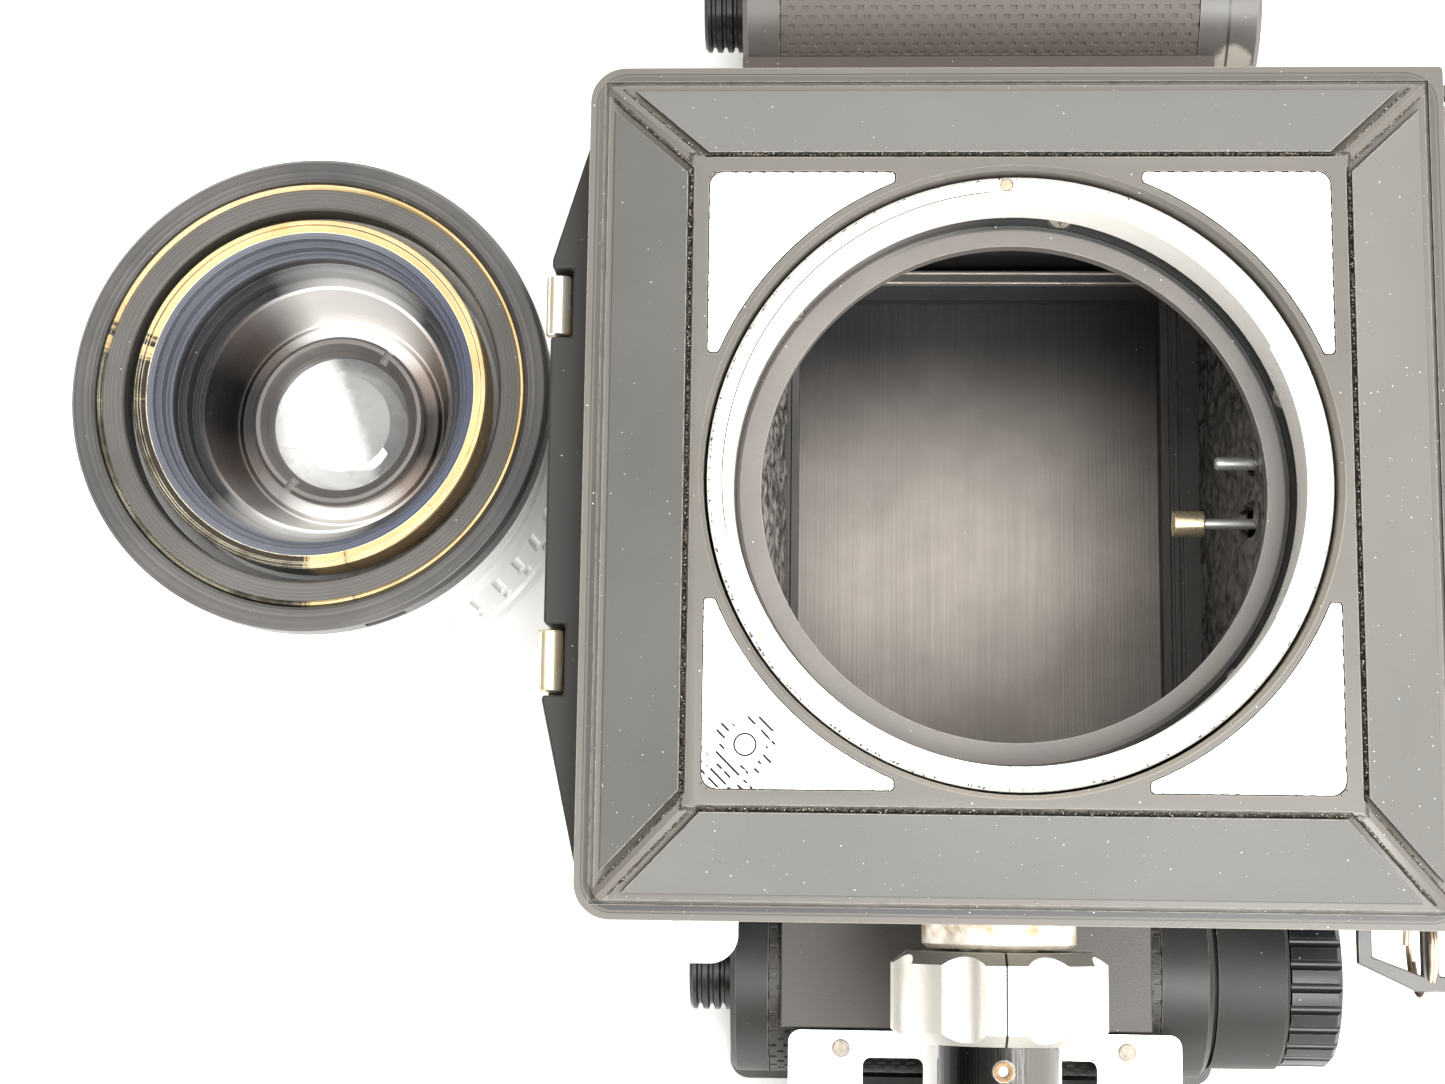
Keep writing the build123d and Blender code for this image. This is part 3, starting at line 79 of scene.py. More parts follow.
class Graph:
    """A node tree while it is being wired; its vectors are in metres in the shared frame."""

    def __init__(self, tree: bpy.types.NodeTree) -> None:
        """Start on a tree that may be empty."""
        self.tree = tree

    def add(self, kind: str, inputs: Optional[dict[Any, Any]] = None, **props: Any) -> bpy.types.Node:
        """Add a node.

        Args:
            kind: the node's type without its ShaderNode prefix.
            inputs: socket name or index to a value, or to an output that is linked in.
            props: the node's own settings.

        Returns:
            The new node.
        """
        node = self.tree.nodes.new("ShaderNode" + kind)
        for key, value in props.items():
            setattr(node, key, value)
        for key, value in (inputs or {}).items():
            if isinstance(value, bpy.types.NodeSocket):
                self.tree.links.new(value, node.inputs[key])
            else:
                node.inputs[key].default_value = value
        return node

    def put(self, effect: "Effect", **values: Any) -> Any:
        """Place a shared effect, with the inputs that differ from its defaults."""
        return EFFECTS.put(self, effect, **values)

    def math(self, operation: str, first: Any, second: Any = 0.5, clamp: bool = False) -> Any:
        """The result of one Math node."""
        return self.add("Math", {0: first, 1: second}, operation=operation, use_clamp=clamp).outputs[0]

    def times(self, first: Any, *others: Any) -> Any:
        """The product of two or more values.

        Args:
            first: a value.
            others: the values that it is multiplied by.

        Returns:
            The product.
        """
        for other in others:
            first = self.math("MULTIPLY", first, other)
        return first

    def remap(self, value: Any, low: Any, high: Any, to_low: float = 0.0, to_high: float = 1.0) -> Any:
        """The value carried from one range to another, held at its ends."""
        ends = {"Value": value, "From Min": low, "From Max": high, "To Min": to_low, "To Max": to_high}
        return self.add("MapRange", ends, clamp=True).outputs["Result"]

    def fade(self, value: Any, full: float, gone: float, strength: float = 1.0) -> Any:
        """Full strength up to one value and nothing past another."""
        return self.remap(value, full, gone, strength, 0.0)

    def gap(self, value: Any, mark: float) -> Any:
        """How far a value is from a mark."""
        return self.math("ABSOLUTE", self.math("SUBTRACT", value, mark))

    def line(self, value: Any, mark: float, full: float, gone: float, strength: float = 1.0) -> Any:
        """A line where a value is near a mark, full within one distance and gone past another."""
        return self.fade(self.gap(value, mark), full, gone, strength)

    def blend(self, share: Any, first: Any, second: Any) -> Any:
        """Two colours mixed by a share from 0 to 1."""
        mix = self.add("Mix", {0: share, 6: opaque(first), 7: opaque(second)}, data_type="RGBA")
        return mix.outputs[2]

    def vector(self, operation: str, first: Any, second: Any) -> Any:
        """The vector from one Vector Math node."""
        return self.add("VectorMath", {0: first, 1: second}, operation=operation).outputs[0]

    def dot(self, first: Any, second: Any) -> Any:
        """The dot product of two vectors."""
        return self.add("VectorMath", {0: first, 1: second}, operation="DOT_PRODUCT").outputs["Value"]

    def length(self, vector: Any) -> Any:
        """A vector's length."""
        return self.add("VectorMath", {0: vector}, operation="LENGTH").outputs["Value"]

    def alone(self, operation: str, vector: Any) -> Any:
        """The vector from a Vector Math node with one input."""
        return self.add("VectorMath", {0: vector}, operation=operation).outputs[0]

    def place(self) -> Any:
        """Object coordinates, which are metres in the shared frame."""
        return self.add("TexCoord").outputs["Object"]

    def off(self, centre: Any) -> Any:
        """The way here from a centre."""
        return self.vector("SUBTRACT", self.place(), centre)

    def level(self, vector: Any) -> Any:
        """A vector laid flat on the floor's plane."""
        return self.vector("MULTIPLY", vector, (1.0, 1.0, 0.0))

    def axis(self, index: int) -> Any:
        """One of the Object coordinates, 0 for X."""
        return self.add("SeparateXYZ", {0: self.place()}).outputs[index]

    def cloud(self, vector: Any, scale: Any, detail: Any = 2.0, roughness: float = 0.5) -> bpy.types.Node:
        """One Noise Texture node."""
        values = {"Vector": vector, "Scale": scale, "Detail": detail, "Roughness": roughness}
        return self.add("TexNoise", values)


def opaque(colour: Any) -> Any:
    """A colour with its fourth number, or a socket as it is."""
    return (*colour, 1.0) if isinstance(colour, tuple) and len(colour) == 3 else colour


class Effect(Enum):
    """The shared surface effects, each one node group that puts out one mask or value."""

    EDGE_WEAR = "edge_wear"
    GRIME = "grime"
    SPECKS = "specks"
    SCRATCHES = "scratches"
    MOTTLE = "mottle"
    STREAKS = "streaks"
    TURNED = "turned"
    WRINKLES = "wrinkles"


class Effects:
    """Builds each shared effect once and places it in a material's graph."""

    SOCKETS: dict[Effect, dict[str, Any]] = {
        Effect.EDGE_WEAR: {"Width": 0.0003, "Scale": 600.0, "Low": 0.02, "High": 0.22, "Keep": 0.5},
        Effect.GRIME: {"Reach": 0.002, "Scale": 500.0, "Keep": 0.5},
        Effect.SPECKS: {"Scale": 900.0, "Size": 0.2, "Share": 0.05},
        Effect.SCRATCHES: {"Scale": 120.0, "Share": 0.2, "Size": 0.06},
        Effect.MOTTLE: {"Scale": 40.0, "Detail": 4.0},
        Effect.STREAKS: {"Stretch": (900.0, 20.0, 900.0)},
        Effect.TURNED: {"Centre": (0.0, 0.0, 0.0), "Scale": 4000.0},
        Effect.WRINKLES: {"Scale": 420.0, "Size": 0.12},
    }

    def __init__(self) -> None:
        """Start with no group built."""
        self.made: dict[Effect, bpy.types.NodeTree] = {}

    def put(self, graph: Graph, effect: Effect, **values: Any) -> Any:
        """Place an effect.

        Args:
            graph: the material's graph.
            effect: which effect.
            values: the group's inputs that differ from their defaults.

        Returns:
            The group's output socket.
        """
        if effect not in self.made:
            self.made[effect] = self.build(effect)
        return graph.add("Group", values, node_tree=self.made[effect]).outputs[0]

    def build(self, effect: Effect) -> bpy.types.NodeTree:
        """Make the group of one effect, with its named sockets.

        Args:
            effect: which effect.

        Returns:
            The new group.
        """
        tree = bpy.data.node_groups.new(effect.value, "ShaderNodeTree")
        for name, value in self.SOCKETS[effect].items():
            kind = "NodeSocketVector" if isinstance(value, tuple) else "NodeSocketFloat"
            tree.interface.new_socket(name, in_out="INPUT", socket_type=kind).default_value = value
        tree.interface.new_socket("Value", in_out="OUTPUT", socket_type="NodeSocketFloat")
        source = tree.nodes.new("NodeGroupInput").outputs
        result = getattr(self, effect.value)(Graph(tree), source)
        tree.links.new(result, tree.nodes.new("NodeGroupOutput").inputs[0])
        return tree

    def edge_wear(self, g: Graph, source: Any) -> Any:
        """High on edges, broken up by noise.

        Args:
            g: the group's graph.
            source: the group's inputs.

        Returns:
            The mask.
        """
        rounded = g.add("Bevel", {"Radius": source["Width"]}, samples=4).outputs[0]
        turn = g.math("SUBTRACT", 1.0, g.dot(rounded, g.add("NewGeometry").outputs["Normal"]))
        grain = g.cloud(g.place(), source["Scale"], 3.0).outputs[0]
        broken = g.times(turn, g.math("ADD", g.times(grain, 4.0), -1.2, clamp=True))
        return g.times(g.remap(broken, source["Low"], source["High"]), source["Keep"])

    def grime(self, g: Graph, source: Any) -> Any:
        """High in corners and grooves, broken up by noise.

        Args:
            g: the group's graph.
            source: the group's inputs.

        Returns:
            The mask.
        """
        open_share = g.add("AmbientOcclusion", {"Distance": source["Reach"]}, samples=4).outputs["AO"]
        grain = g.cloud(g.place(), source["Scale"], 5.0).outputs[0]
        return g.times(g.fade(open_share, 0.15, 0.62), g.remap(grain, 0.3, 0.62), source["Keep"])

    def flecks(self, g: Graph, source: Any, vector: Any, scale: Any, channel: int) -> Any:
        """Round spots in some cells of a lattice.

        Args:
            g: the group's graph.
            source: its inputs, of which Size and Share are read.
            vector: where the lattice is read.
            scale: the lattice's scale.
            channel: which of the cells' colours draws the lot.

        Returns:
            The mask.
        """
        cells = g.add("TexVoronoi", {"Vector": vector, "Scale": scale})
        near = g.math("LESS_THAN", cells.outputs["Distance"], source["Size"])
        lot = g.add("SeparateColor", {0: cells.outputs["Color"]}).outputs[channel]
        return g.times(near, g.math("LESS_THAN", lot, source["Share"]))

    def specks(self, g: Graph, source: Any) -> Any:
        """Small round flecks."""
        return self.flecks(g, source, g.place(), source["Scale"], 0)

    def scratches(self, g: Graph, source: Any) -> Any:
        """Short fine scratches that run several ways.

        Args:
            g: the group's graph.
            source: the group's inputs.

        Returns:
            The mask.
        """
        total = None
        for turn, stretch in ((0.4, 26.0), (1.9, 34.0), (2.7, 20.0)):
            bent = g.add("Mapping", {"Vector": g.place(), "Rotation": (0.2 * turn, 0.1, turn),
                                     "Scale": (1.0, stretch, 1.0)}, vector_type="TEXTURE").outputs[0]
            line = self.flecks(g, source, bent, g.times(source["Scale"], stretch), 1)
            total = line if total is None else g.math("MAXIMUM", total, line)
        return total

    def mottle(self, g: Graph, source: Any) -> Any:
        """Slow soft variation."""
        return g.remap(g.cloud(g.place(), source["Scale"], source["Detail"], 0.6).outputs[0], 0.3, 0.7)

    def streaks(self, g: Graph, source: Any) -> Any:
        """A brushed grain that runs along the least stretched way."""
        stretched = g.vector("MULTIPLY", g.place(), source["Stretch"])
        return g.remap(g.cloud(stretched, 1.0, 5.0, 0.7).outputs[0], 0.28, 0.72)

    def turned(self, g: Graph, source: Any) -> Any:
        """Fine rings round an upright axis through a centre.

        Args:
            g: the group's graph.
            source: the group's inputs.

        Returns:
            The mask.
        """
        off = g.off(source["Centre"])
        out, high = g.length(g.level(off)), g.add("SeparateXYZ", {0: off}).outputs[2]
        ring = g.add("CombineXYZ", {0: g.math("ADD", out, high), 2: g.times(out, 0.3)}).outputs[0]
        return g.remap(g.cloud(ring, source["Scale"], 4.0).outputs[0], 0.3, 0.7)

    def wrinkles(self, g: Graph, source: Any) -> Any:
        """Leather creases: low along the seams of a bent lattice.

        Args:
            g: the group's graph.
            source: the group's inputs.

        Returns:
            The mask.
        """
        warp = g.vector("MULTIPLY", g.cloud(g.place(), 300.0, 3.0).outputs["Color"], (0.0012, 0.0012, 0.0012))
        seams = g.add("TexVoronoi", {"Vector": g.vector("ADD", g.place(), warp), "Scale": source["Scale"]},
                      feature="DISTANCE_TO_EDGE").outputs["Distance"]
        return g.remap(seams, 0.0, source["Size"])


EFFECTS = Effects()


# ------------------------------------------------------------------ finishes

@dataclass(frozen=True)
class Wear:
    """Bare material that shows along edges; its width is in millimetres."""

    colour: Colour
    width: float = 0.35
    keep: float = 0.6
    scale: float = 700.0
    metallic: float = 0.0


@dataclass(frozen=True)
class Dirt:
    """What has settled in corners and grooves; its reach is in millimetres."""

    colour: Colour
    reach: float = 1.6
    keep: float = 0.7
    scale: float = 450.0


@dataclass(frozen=True)
class Look:
    """A named look, whose material is built once."""

    name: str

    def material(self) -> bpy.types.Material:
        """Build the material, or give the one built before.

        Returns:
            The material.
        """
        name = "look_" + self.name
        made = bpy.data.materials.get(name)
        if made is None:
            made = bpy.data.materials.new(name)
            made.use_nodes = True
            made.node_tree.nodes.clear()
            g = Graph(made.node_tree)
            g.add("OutputMaterial", {0: self.shader(g).outputs[0]})
        return made

    def shader(self, g: Graph) -> bpy.types.Node:
        """Wire the shader; each kind of look has its own."""
        raise NotImplementedError


@dataclass(frozen=True)
class Finish(Look):
    """One procedural finish; lengths are in millimetres.

    The base colour drifts to the second one, then come streaks or turned lines, dirt,
    scratches, worn edges and dust, and the bump takes the grain, lines and scratches.
    """

    colour: Colour
    second: Colour
    roughness: tuple[float, float] = (0.4, 0.55)
    metallic: float = 0.0
    drift: float = 60.0
    grain: float = 0.02
    grain_scale: float = 2500.0
    wear: Optional[Wear] = None
    dirt: Optional[Dirt] = None
    dust: float = 0.0
    dust_colour: Colour = (0.75, 0.73, 0.7)
    scratch: float = 0.0
    scratch_colour: Colour = (0.45, 0.44, 0.42)
    streak: Optional[Triple] = None
    streak_depth: float = 0.25
    turned: Optional[Triple] = None
    specular: float = 0.5
    extra: Optional[Callable[[Graph, Any], Any]] = None

    def shader(self, g: Graph) -> bpy.types.Node:
        """Wire the shader from the base colour up.

        Args:
            g: the material's graph.

        Returns:
            The shader's node.
        """
        drift = g.put(Effect.MOTTLE, Scale=self.drift)
        colour = g.blend(drift, self.colour, self.second)
        rough = g.remap(drift, 0.0, 1.0, *self.roughness)
        height = g.times(g.cloud(g.place(), self.grain_scale).outputs[0], self.grain)
        metal: Any = self.metallic
        lines = None
        if self.streak:
            lines = g.put(Effect.STREAKS, Stretch=self.streak)
        elif self.turned:
            lines = g.put(Effect.TURNED, Centre=tuple(MM * v for v in self.turned))
        if lines is not None:
            dark = tuple(c * (1.0 - self.streak_depth) for c in self.colour)
            colour = g.blend(g.remap(lines, 0.0, 1.0, 0.0, 0.9), colour, dark)
            height = g.math("ADD", height, g.times(lines, 0.03))
        if self.extra:
            colour = self.extra(g, colour)
        if self.dirt:
            d = self.dirt
            mask = g.put(Effect.GRIME, Reach=MM * d.reach, Scale=d.scale, Keep=d.keep)
            colour = g.blend(mask, colour, d.colour)
            rough = g.math("ADD", rough, g.times(mask, 0.35), clamp=True)
        if self.scratch:
            mask = g.put(Effect.SCRATCHES, Share=self.scratch)
            colour = g.blend(g.times(mask, 0.6), colour, self.scratch_colour)
            height = g.math("SUBTRACT", height, g.times(mask, 0.02))
        if self.wear:
            w = self.wear
            mask = g.put(Effect.EDGE_WEAR, Width=MM * w.width, Scale=w.scale, Keep=w.keep)
            colour = g.blend(mask, colour, w.colour)
            if w.metallic != self.metallic:
                metal = g.remap(mask, 0.0, 1.0, self.metallic, w.metallic)
        if self.dust:
            for scale, size in ((1000.0, 0.09), (460.0, 0.042)):
                mask = g.put(Effect.SPECKS, Scale=scale, Size=size, Share=self.dust)
                colour = g.blend(g.times(mask, 0.5), colour, self.dust_colour)
        bump = g.add("Bump", {"Strength": 1.0, "Distance": MM, "Height": height})
        return g.add("BsdfPrincipled", {
            "Base Color": colour, "Roughness": rough, "Metallic": metal, "Normal": bump.outputs[0],
            "Specular IOR Level": self.specular, "Coat Weight": 0.0, "Coat Roughness": 0.12,
        })


@dataclass(frozen=True)
class Glass(Look):
    """Coated optical glass with a faint haze."""

    tint: Colour
    roughness: float = 0.02
    ior: float = 1.62

    def shader(self, g: Graph) -> bpy.types.Node:
        """Wire the shader with its haze and wipe marks.

        Args:
            g: the material's graph.

        Returns:
            The shader's node.
        """
        haze = g.put(Effect.MOTTLE, Scale=150.0)
        wipe = g.put(Effect.SCRATCHES, Share=0.1, Scale=90.0)
        rough = g.remap(haze, 0.0, 1.0, self.roughness, 2.5 * self.roughness)
        return g.add("BsdfPrincipled", {
            "Base Color": g.blend(haze, self.tint, tuple(0.8 * c for c in self.tint)), "IOR": self.ior,
            "Transmission Weight": 1.0, "Roughness": g.math("ADD", rough, g.times(wipe, 0.1), clamp=True),
            "Coat Weight": 0.6, "Coat Roughness": 0.03,
        })


# ------------------------------------------------------------------ this camera's finishes

def slide_shade(g: Graph, colour: Any) -> Any:
    """The dark slide gets a painted pool of light in its middle, where light falls through the throat, and is
    marked by a few pale scuffs.

    Args:
        g: the material's graph.
        colour: the colour so far.

    Returns:
        The new colour.
    """
    out = g.length(g.vector("MULTIPLY", g.off((0.0, -0.003, 0.0)), (19.0, 24.0, 0.0)))
    cloud = g.remap(g.put(Effect.MOTTLE, Scale=45.0), 0.0, 1.0, 0.6, 1.0)
    # painted light: the share called rubbed is a pool of light, not wear; it is lightest in the middle and
    # fades towards high y, and the streaks show only inside it
    rubbed = g.times(g.fade(out, 0.15, 1.15), cloud, g.remap(g.axis(1), 0.014, 0.036, 1.0, 0.1))
    colour = g.blend(rubbed, colour, (0.56, 0.5, 0.45))
    for stretch, share, dark in (((300.0, 9.0, 1.0), 0.45, (0.16, 0.145, 0.13)),
                                 ((1500.0, 22.0, 1.0), 0.4, (0.14, 0.125, 0.112))):
        colour = g.blend(g.times(g.put(Effect.STREAKS, Stretch=stretch), rubbed, share), colour, dark)
    near = g.fade(g.length(g.off((0.006, -0.017, 0.0265))), 0.002, 0.009)
    scuff = g.times(g.put(Effect.SCRATCHES, Scale=170.0, Share=0.5, Size=0.1), near)
    return g.blend(scuff, colour, (0.5, 0.44, 0.38))


def crease_shade(g: Graph, colour: Any) -> Any:
    """Leather liners get painted shade in their creases, and painted light and shade by side: the lens's side
    liner is lightened and the finder's side one darkened.

    Args:
        g: the material's graph.
        colour: the colour so far.

    Returns:
        The new colour.
    """
    seams = g.put(Effect.WRINKLES, Scale=260.0, Size=0.2)
    # painted light and shade: the lens's side liner is lightened as if lit, the finder's side one darkened as
    # if shaded
    finder = g.remap(g.dot(g.place(), (1.0, 0.0, 0.0)), -0.01, 0.01)
    painted_side_shade = g.blend(finder, g.blend(0.3, colour, (0.4, 0.37, 0.34)), g.blend(0.62, colour, SOOT))
    # painted shade: the creases are blackened
    return g.blend(seams, (0.008, 0.008, 0.008), painted_side_shade)


def worn_patch(g: Graph, colour: Any) -> Any:
    """The chamber's black is rubbed through to bright metal at its finder-side cap.

    Args:
        g: the material's graph.
        colour: the colour so far.

    Returns:
        The new colour.
    """
    near = g.fade(g.length(g.off((0.0402, 0.0805, 0.0285))), 0.0015, 0.005)
    share = g.remap(g.times(near, g.math("ADD", g.put(Effect.MOTTLE, Scale=260.0), 0.3)), 0.28, 0.55)
    patched = g.blend(share, colour, (0.3, 0.275, 0.24))
    return g.blend(g.line(g.axis(0), 0.0395, 0.00012, 0.0003, 0.85), patched, (0.01, 0.009, 0.008))


def around(g: Graph) -> Any:
    """The direction round the lens's axis: a unit vector in the plane of its rings."""
    return g.alone("NORMALIZE", g.level(g.off(tuple(MM * v for v in LENS_AXIS))))


def brass_breaks(g: Graph, colour: Any) -> Any:
    """The brass is blackened in long patches, most of them low on the lens's outer side.

    Args:
        g: the material's graph.
        colour: the colour so far.

    Returns:
        The new colour.
    """
    way = around(g)
    share = g.remap(g.dot(way, (-0.75, -0.66, 0.0)), 0.3, 1.0, 0.12, 0.55)
    black = g.remap(g.math("ADD", g.cloud(way, 5.0, 5.0, 0.65).outputs[0], share), 0.78, 0.84)
    return g.blend(black, colour, (0.03, 0.024, 0.018))


def cone_painted_reflection(g: Graph, colour: Any) -> Any:
    """The cone gets painted reflections, grey across two sides and brown-black between them, and painted
    shade on its -X side.

    Args:
        g: the material's graph.
        colour: the colour so far.

    Returns:
        The new colour.
    """
    side = g.math("ABSOLUTE", g.dot(around(g), (0.12, 0.99, 0.0)))
    # painted shade: the cone's -X side is darkened
    left = g.remap(g.dot(around(g), (-1.0, 0.0, 0.0)), 0.2, 0.6, 0.0, 0.7)
    # painted reflection: brown between the grey bands
    browner = g.blend(g.remap(side, 0.2, 0.6), colour, (0.22, 0.175, 0.15))
    # painted reflection: grey bands on the two sides where the cone would mirror the light
    ends = g.blend(g.remap(side, 0.6, 0.92), browner, (0.68, 0.66, 0.64))
    return g.blend(left, ends, (0.008, 0.008, 0.009))


def seam_shade(g: Graph, colour: Any) -> Any:
    """Uneven black lines run along the panels' borders, mitres included; the rim's ridge gets painted shade,
    stronger towards the bottom, and the frame round the lock ring painted light on its lower right side.

    Args:
        g: the material's graph.
        colour: the colour so far.

    Returns:
        The new colour.
    """
    flat = g.alone("ABSOLUTE", g.place())
    x, y, z = g.add("SeparateXYZ", {0: flat}).outputs
    past = g.vector("MAXIMUM", g.vector("SUBTRACT", flat, (0.0495, 0.0495, 1.0)), (0.0, 0.0, 0.0))
    reach = g.length(past)
    # painted shade on the rim's ridge and a dark line at its outer edge; down makes the ridge's shade
    # stronger towards the bottom
    painted_ridge_shade = g.times(g.remap(reach, 0.00295, 0.0031), g.fade(reach, 0.0036, 0.0039))
    down = g.remap(g.dot(g.place(), (-0.45, -0.9, 0.0)), -0.02, 0.04, 0.5, 1.0)
    rim = g.math("MAXIMUM", g.times(painted_ridge_shade, down), g.line(reach, 0.00402, 0.00004, 0.00012, 0.9))
    colour = g.blend(rim, colour, (0.016, 0.015, 0.013))
    level = g.level(g.place())
    # painted light: the frame's floor round the lock ring is lightened on its lower right side; worn here is
    # this painted light, not wear
    lit = g.remap(g.dot(level, (0.6, -0.8, 0.0)), 0.0, 0.03)
    worn = g.times(g.fade(g.length(level), 0.0393, 0.0396, 0.8), lit)
    colour = g.blend(worn, colour, (0.18, 0.165, 0.14))
    most, least = (g.math(kind, x, y) for kind in ("MAXIMUM", "MINIMUM"))
    fray = g.remap(g.put(Effect.MOTTLE, Scale=1400.0), 0.0, 1.0, 0.00008, 0.00042)
    border = g.math("SUBTRACT", fray, g.gap(most, 0.04098))
    mitre = g.math("SUBTRACT", fray, g.gap(g.math("SUBTRACT", most, least), 0.00127))
    along = g.times(g.remap(most, 0.0409, 0.0411), g.fade(most, 0.0513, 0.0515))
    lines = g.math("MAXIMUM", g.remap(border, 0.0, 0.00006), g.times(g.remap(mitre, 0.0, 0.00006), along))
    return g.blend(g.times(lines, g.remap(z, 0.099, 0.0995)), colour, (0.008, 0.007, 0.006))


def seat_shade(g: Graph, colour: Any) -> Any:
    """The lens seat gets a painted shadow along its outer edge, away from the lens's side.

    Args:
        g: the material's graph.
        colour: the colour so far.

    Returns:
        The new colour.
    """
    flat = g.level(g.place())
    side = g.remap(g.dot(g.alone("NORMALIZE", flat), (0.93, 0.37, 0.0)), -0.15, 0.3)
    # painted shadow of the lock ring on the seat's outer edge
    return g.blend(g.times(g.remap(g.length(flat), 0.034, 0.0343), side), colour, (0.006, 0.006, 0.006))


def plate_shade(g: Graph, colour: Any) -> Any:
    """A painted dark reflection lies in stripes across the ribs at one corner of the plates, round a plain
    ring drawn dark.

    Args:
        g: the material's graph.
        colour: the colour so far.

    Returns:
        The new colour.
    """
    at = g.off((-0.0333, -0.0332, 0.1061))
    out = g.length(at)
    wave = g.math("SINE", g.times(g.dot(g.place(), (0.7071, 0.7071, 0.0)), math.tau / 0.00095))
    corner = g.times(g.remap(g.dot(at, (-0.55, -0.83, 0.0)), 0.0026, 0.0042), g.fade(out, 0.006, 0.0085))
    reflection_area = g.math("MAXIMUM", corner, g.line(out, 0.0032, 0.0003, 0.0011))
    cloud = g.remap(g.cloud(g.place(), 900.0).outputs[0], 0.38, 0.46)
    # painted reflection: dark stripes standing for a dark thing mirrored in the plate
    left = g.times(g.remap(wave, 0.45, 0.6), reflection_area, cloud)
    black = g.math("MAXIMUM", g.line(out, 0.00132, 0.00008, 0.00016), left)
    return g.blend(g.remap(black, 0.3, 0.6), colour, SOOT)


def pipe_shade(g: Graph, colour: Any) -> Any:
    """The grip tube is nearly black on its left and painted dull grey on its right, a painted reflection."""
    # painted reflection: the right side lightened to dull grey
    return g.blend(g.remap(g.axis(0), 0.0008, 0.0032), colour, (0.13, 0.127, 0.12))


def collar_shade(g: Graph, colour: Any) -> Any:
    """The collar is tea-coloured where it meets the frame."""
    cloud = g.remap(g.put(Effect.MOTTLE, Scale=240.0), 0.3, 0.8)
    return g.blend(g.times(g.remap(g.axis(1), -0.0585, -0.0552), cloud), colour, (0.42, 0.3, 0.16))


def nut_shade(g: Graph, colour: Any) -> Any:
    """A thin parting line runs along the nut."""
    side = g.math("ABSOLUTE", g.axis(0))
    return g.blend(g.fade(side, 0.0001, 0.00022), colour, (0.03, 0.028, 0.024))


def lock_shade(g: Graph, colour: Any) -> Any:
    """A dark line is drawn along the lock ring's inner step on the lens's side.

    Args:
        g: the material's graph.
        colour: the colour so far.

    Returns:
        The new colour.
    """
    flat = g.level(g.place())
    step = g.line(g.length(flat), 0.0366, 0.00006, 0.00014)
    lens_side = g.remap(g.dot(g.alone("NORMALIZE", flat), (-0.8, 0.6, 0.0)), 0.45, 0.7)
    return g.blend(g.times(step, lens_side), colour, (0.05, 0.045, 0.038))


def hide_shade(g: Graph, colour: Any) -> Any:
    """The covering gets painted shade towards the grip's side."""
    low = g.remap(g.dot(g.place(), (0.0, -1.0, 0.0)), 0.052, 0.055)
    # painted shade on the covering at low y
    return g.blend(low, colour, (0.02, 0.0185, 0.0165))


def skirt_shade(g: Graph, colour: Any) -> Any:
    """The end of the magazine under the supply chamber is covered like the chamber."""
    return g.blend(g.remap(g.axis(1), 0.0735, 0.074), colour, (0.05, 0.038, 0.032))


def tube_shade(g: Graph, colour: Any) -> Any:
    """The rear tube is bare blue-grey at its mouth, darkened to navy on one side as painted shade; further in
    it is painted black as painted shade, with painted grey reflections on two sides.

    Args:
        g: the material's graph.
        colour: the colour so far.

    Returns:
        The new colour.
    """
    high, black = g.axis(2), (0.012, 0.012, 0.014)
    # painted shade: one side of the mouth darkened to navy
    side = g.remap(g.dot(around(g), (0.95, -0.3, 0.0)), 0.05, 0.75, 0.0, 0.95)
    shaded_mouth = g.blend(side, colour, (0.03, 0.036, 0.06))
    # painted reflection: grey on two sides of the tube's inner wall
    ends = g.math("ABSOLUTE", g.dot(around(g), (0.2, 0.98, 0.0)))
    inner = g.blend(g.remap(ends, 0.8, 0.99), black, (0.3, 0.295, 0.29))
    # painted shade: the tube turns black further in, where shade falls
    return g.blend(g.fade(high, 0.0535, 0.0545), shaded_mouth, g.blend(g.remap(high, 0.0512, 0.0522), inner, black))


def blade_shade(g: Graph, colour: Any) -> Any:
    """The shutter blades are bright on the lens's outer side and painted grey on the other, a painted shade
    by side.
    """
    across = g.remap(g.dot(g.off((-0.0975, 0.0203, 0.0)), (0.93, 0.36, 0.0)), -0.0005, 0.0012)
    # painted shade: the blades darkened to grey on one side
    return g.blend(across, colour, (0.16, 0.155, 0.15))


CHARCOAL = Wear((0.34, 0.31, 0.27), width=0.24, keep=0.6)
GREY_DIRT = Dirt((0.03, 0.024, 0.016), reach=0.7, keep=0.6)
FRAME_ENAMEL = Finish(
    "frame_enamel", (0.066, 0.06, 0.052), (0.08, 0.073, 0.064), (0.36, 0.48), drift=35.0, wear=CHARCOAL,
    dirt=GREY_DIRT, dust=0.1, scratch=0.02, grain=0.012, extra=seam_shade)
BLADE_STEEL = Finish(
    "blade_steel", (0.85, 0.84, 0.82), (0.7, 0.69, 0.67), (0.2, 0.35), 0.4, drift=70.0,
    streak=(400.0, 1600.0, 10.0), streak_depth=0.2, scratch=0.06, grain=0.004, extra=blade_shade)
PANEL_ENAMEL = Finish(
    "panel_enamel", (0.074, 0.072, 0.067), (0.09, 0.088, 0.082), (0.38, 0.52), drift=28.0,
    wear=Wear((0.5, 0.47, 0.42), width=0.2, keep=0.8), dirt=Dirt((0.02, 0.016, 0.01), 0.5, 0.7),
    dust=0.14, scratch=0.09, scratch_colour=(0.36, 0.35, 0.33), grain=0.015, extra=seam_shade)
CRINKLE_ENAMEL = Finish(
    "crinkle_enamel", (0.05, 0.047, 0.043), (0.065, 0.06, 0.055), (0.42, 0.55), drift=45.0, wear=CHARCOAL,
    dirt=GREY_DIRT, dust=0.06, scratch=0.02, grain=0.05, grain_scale=1800.0)
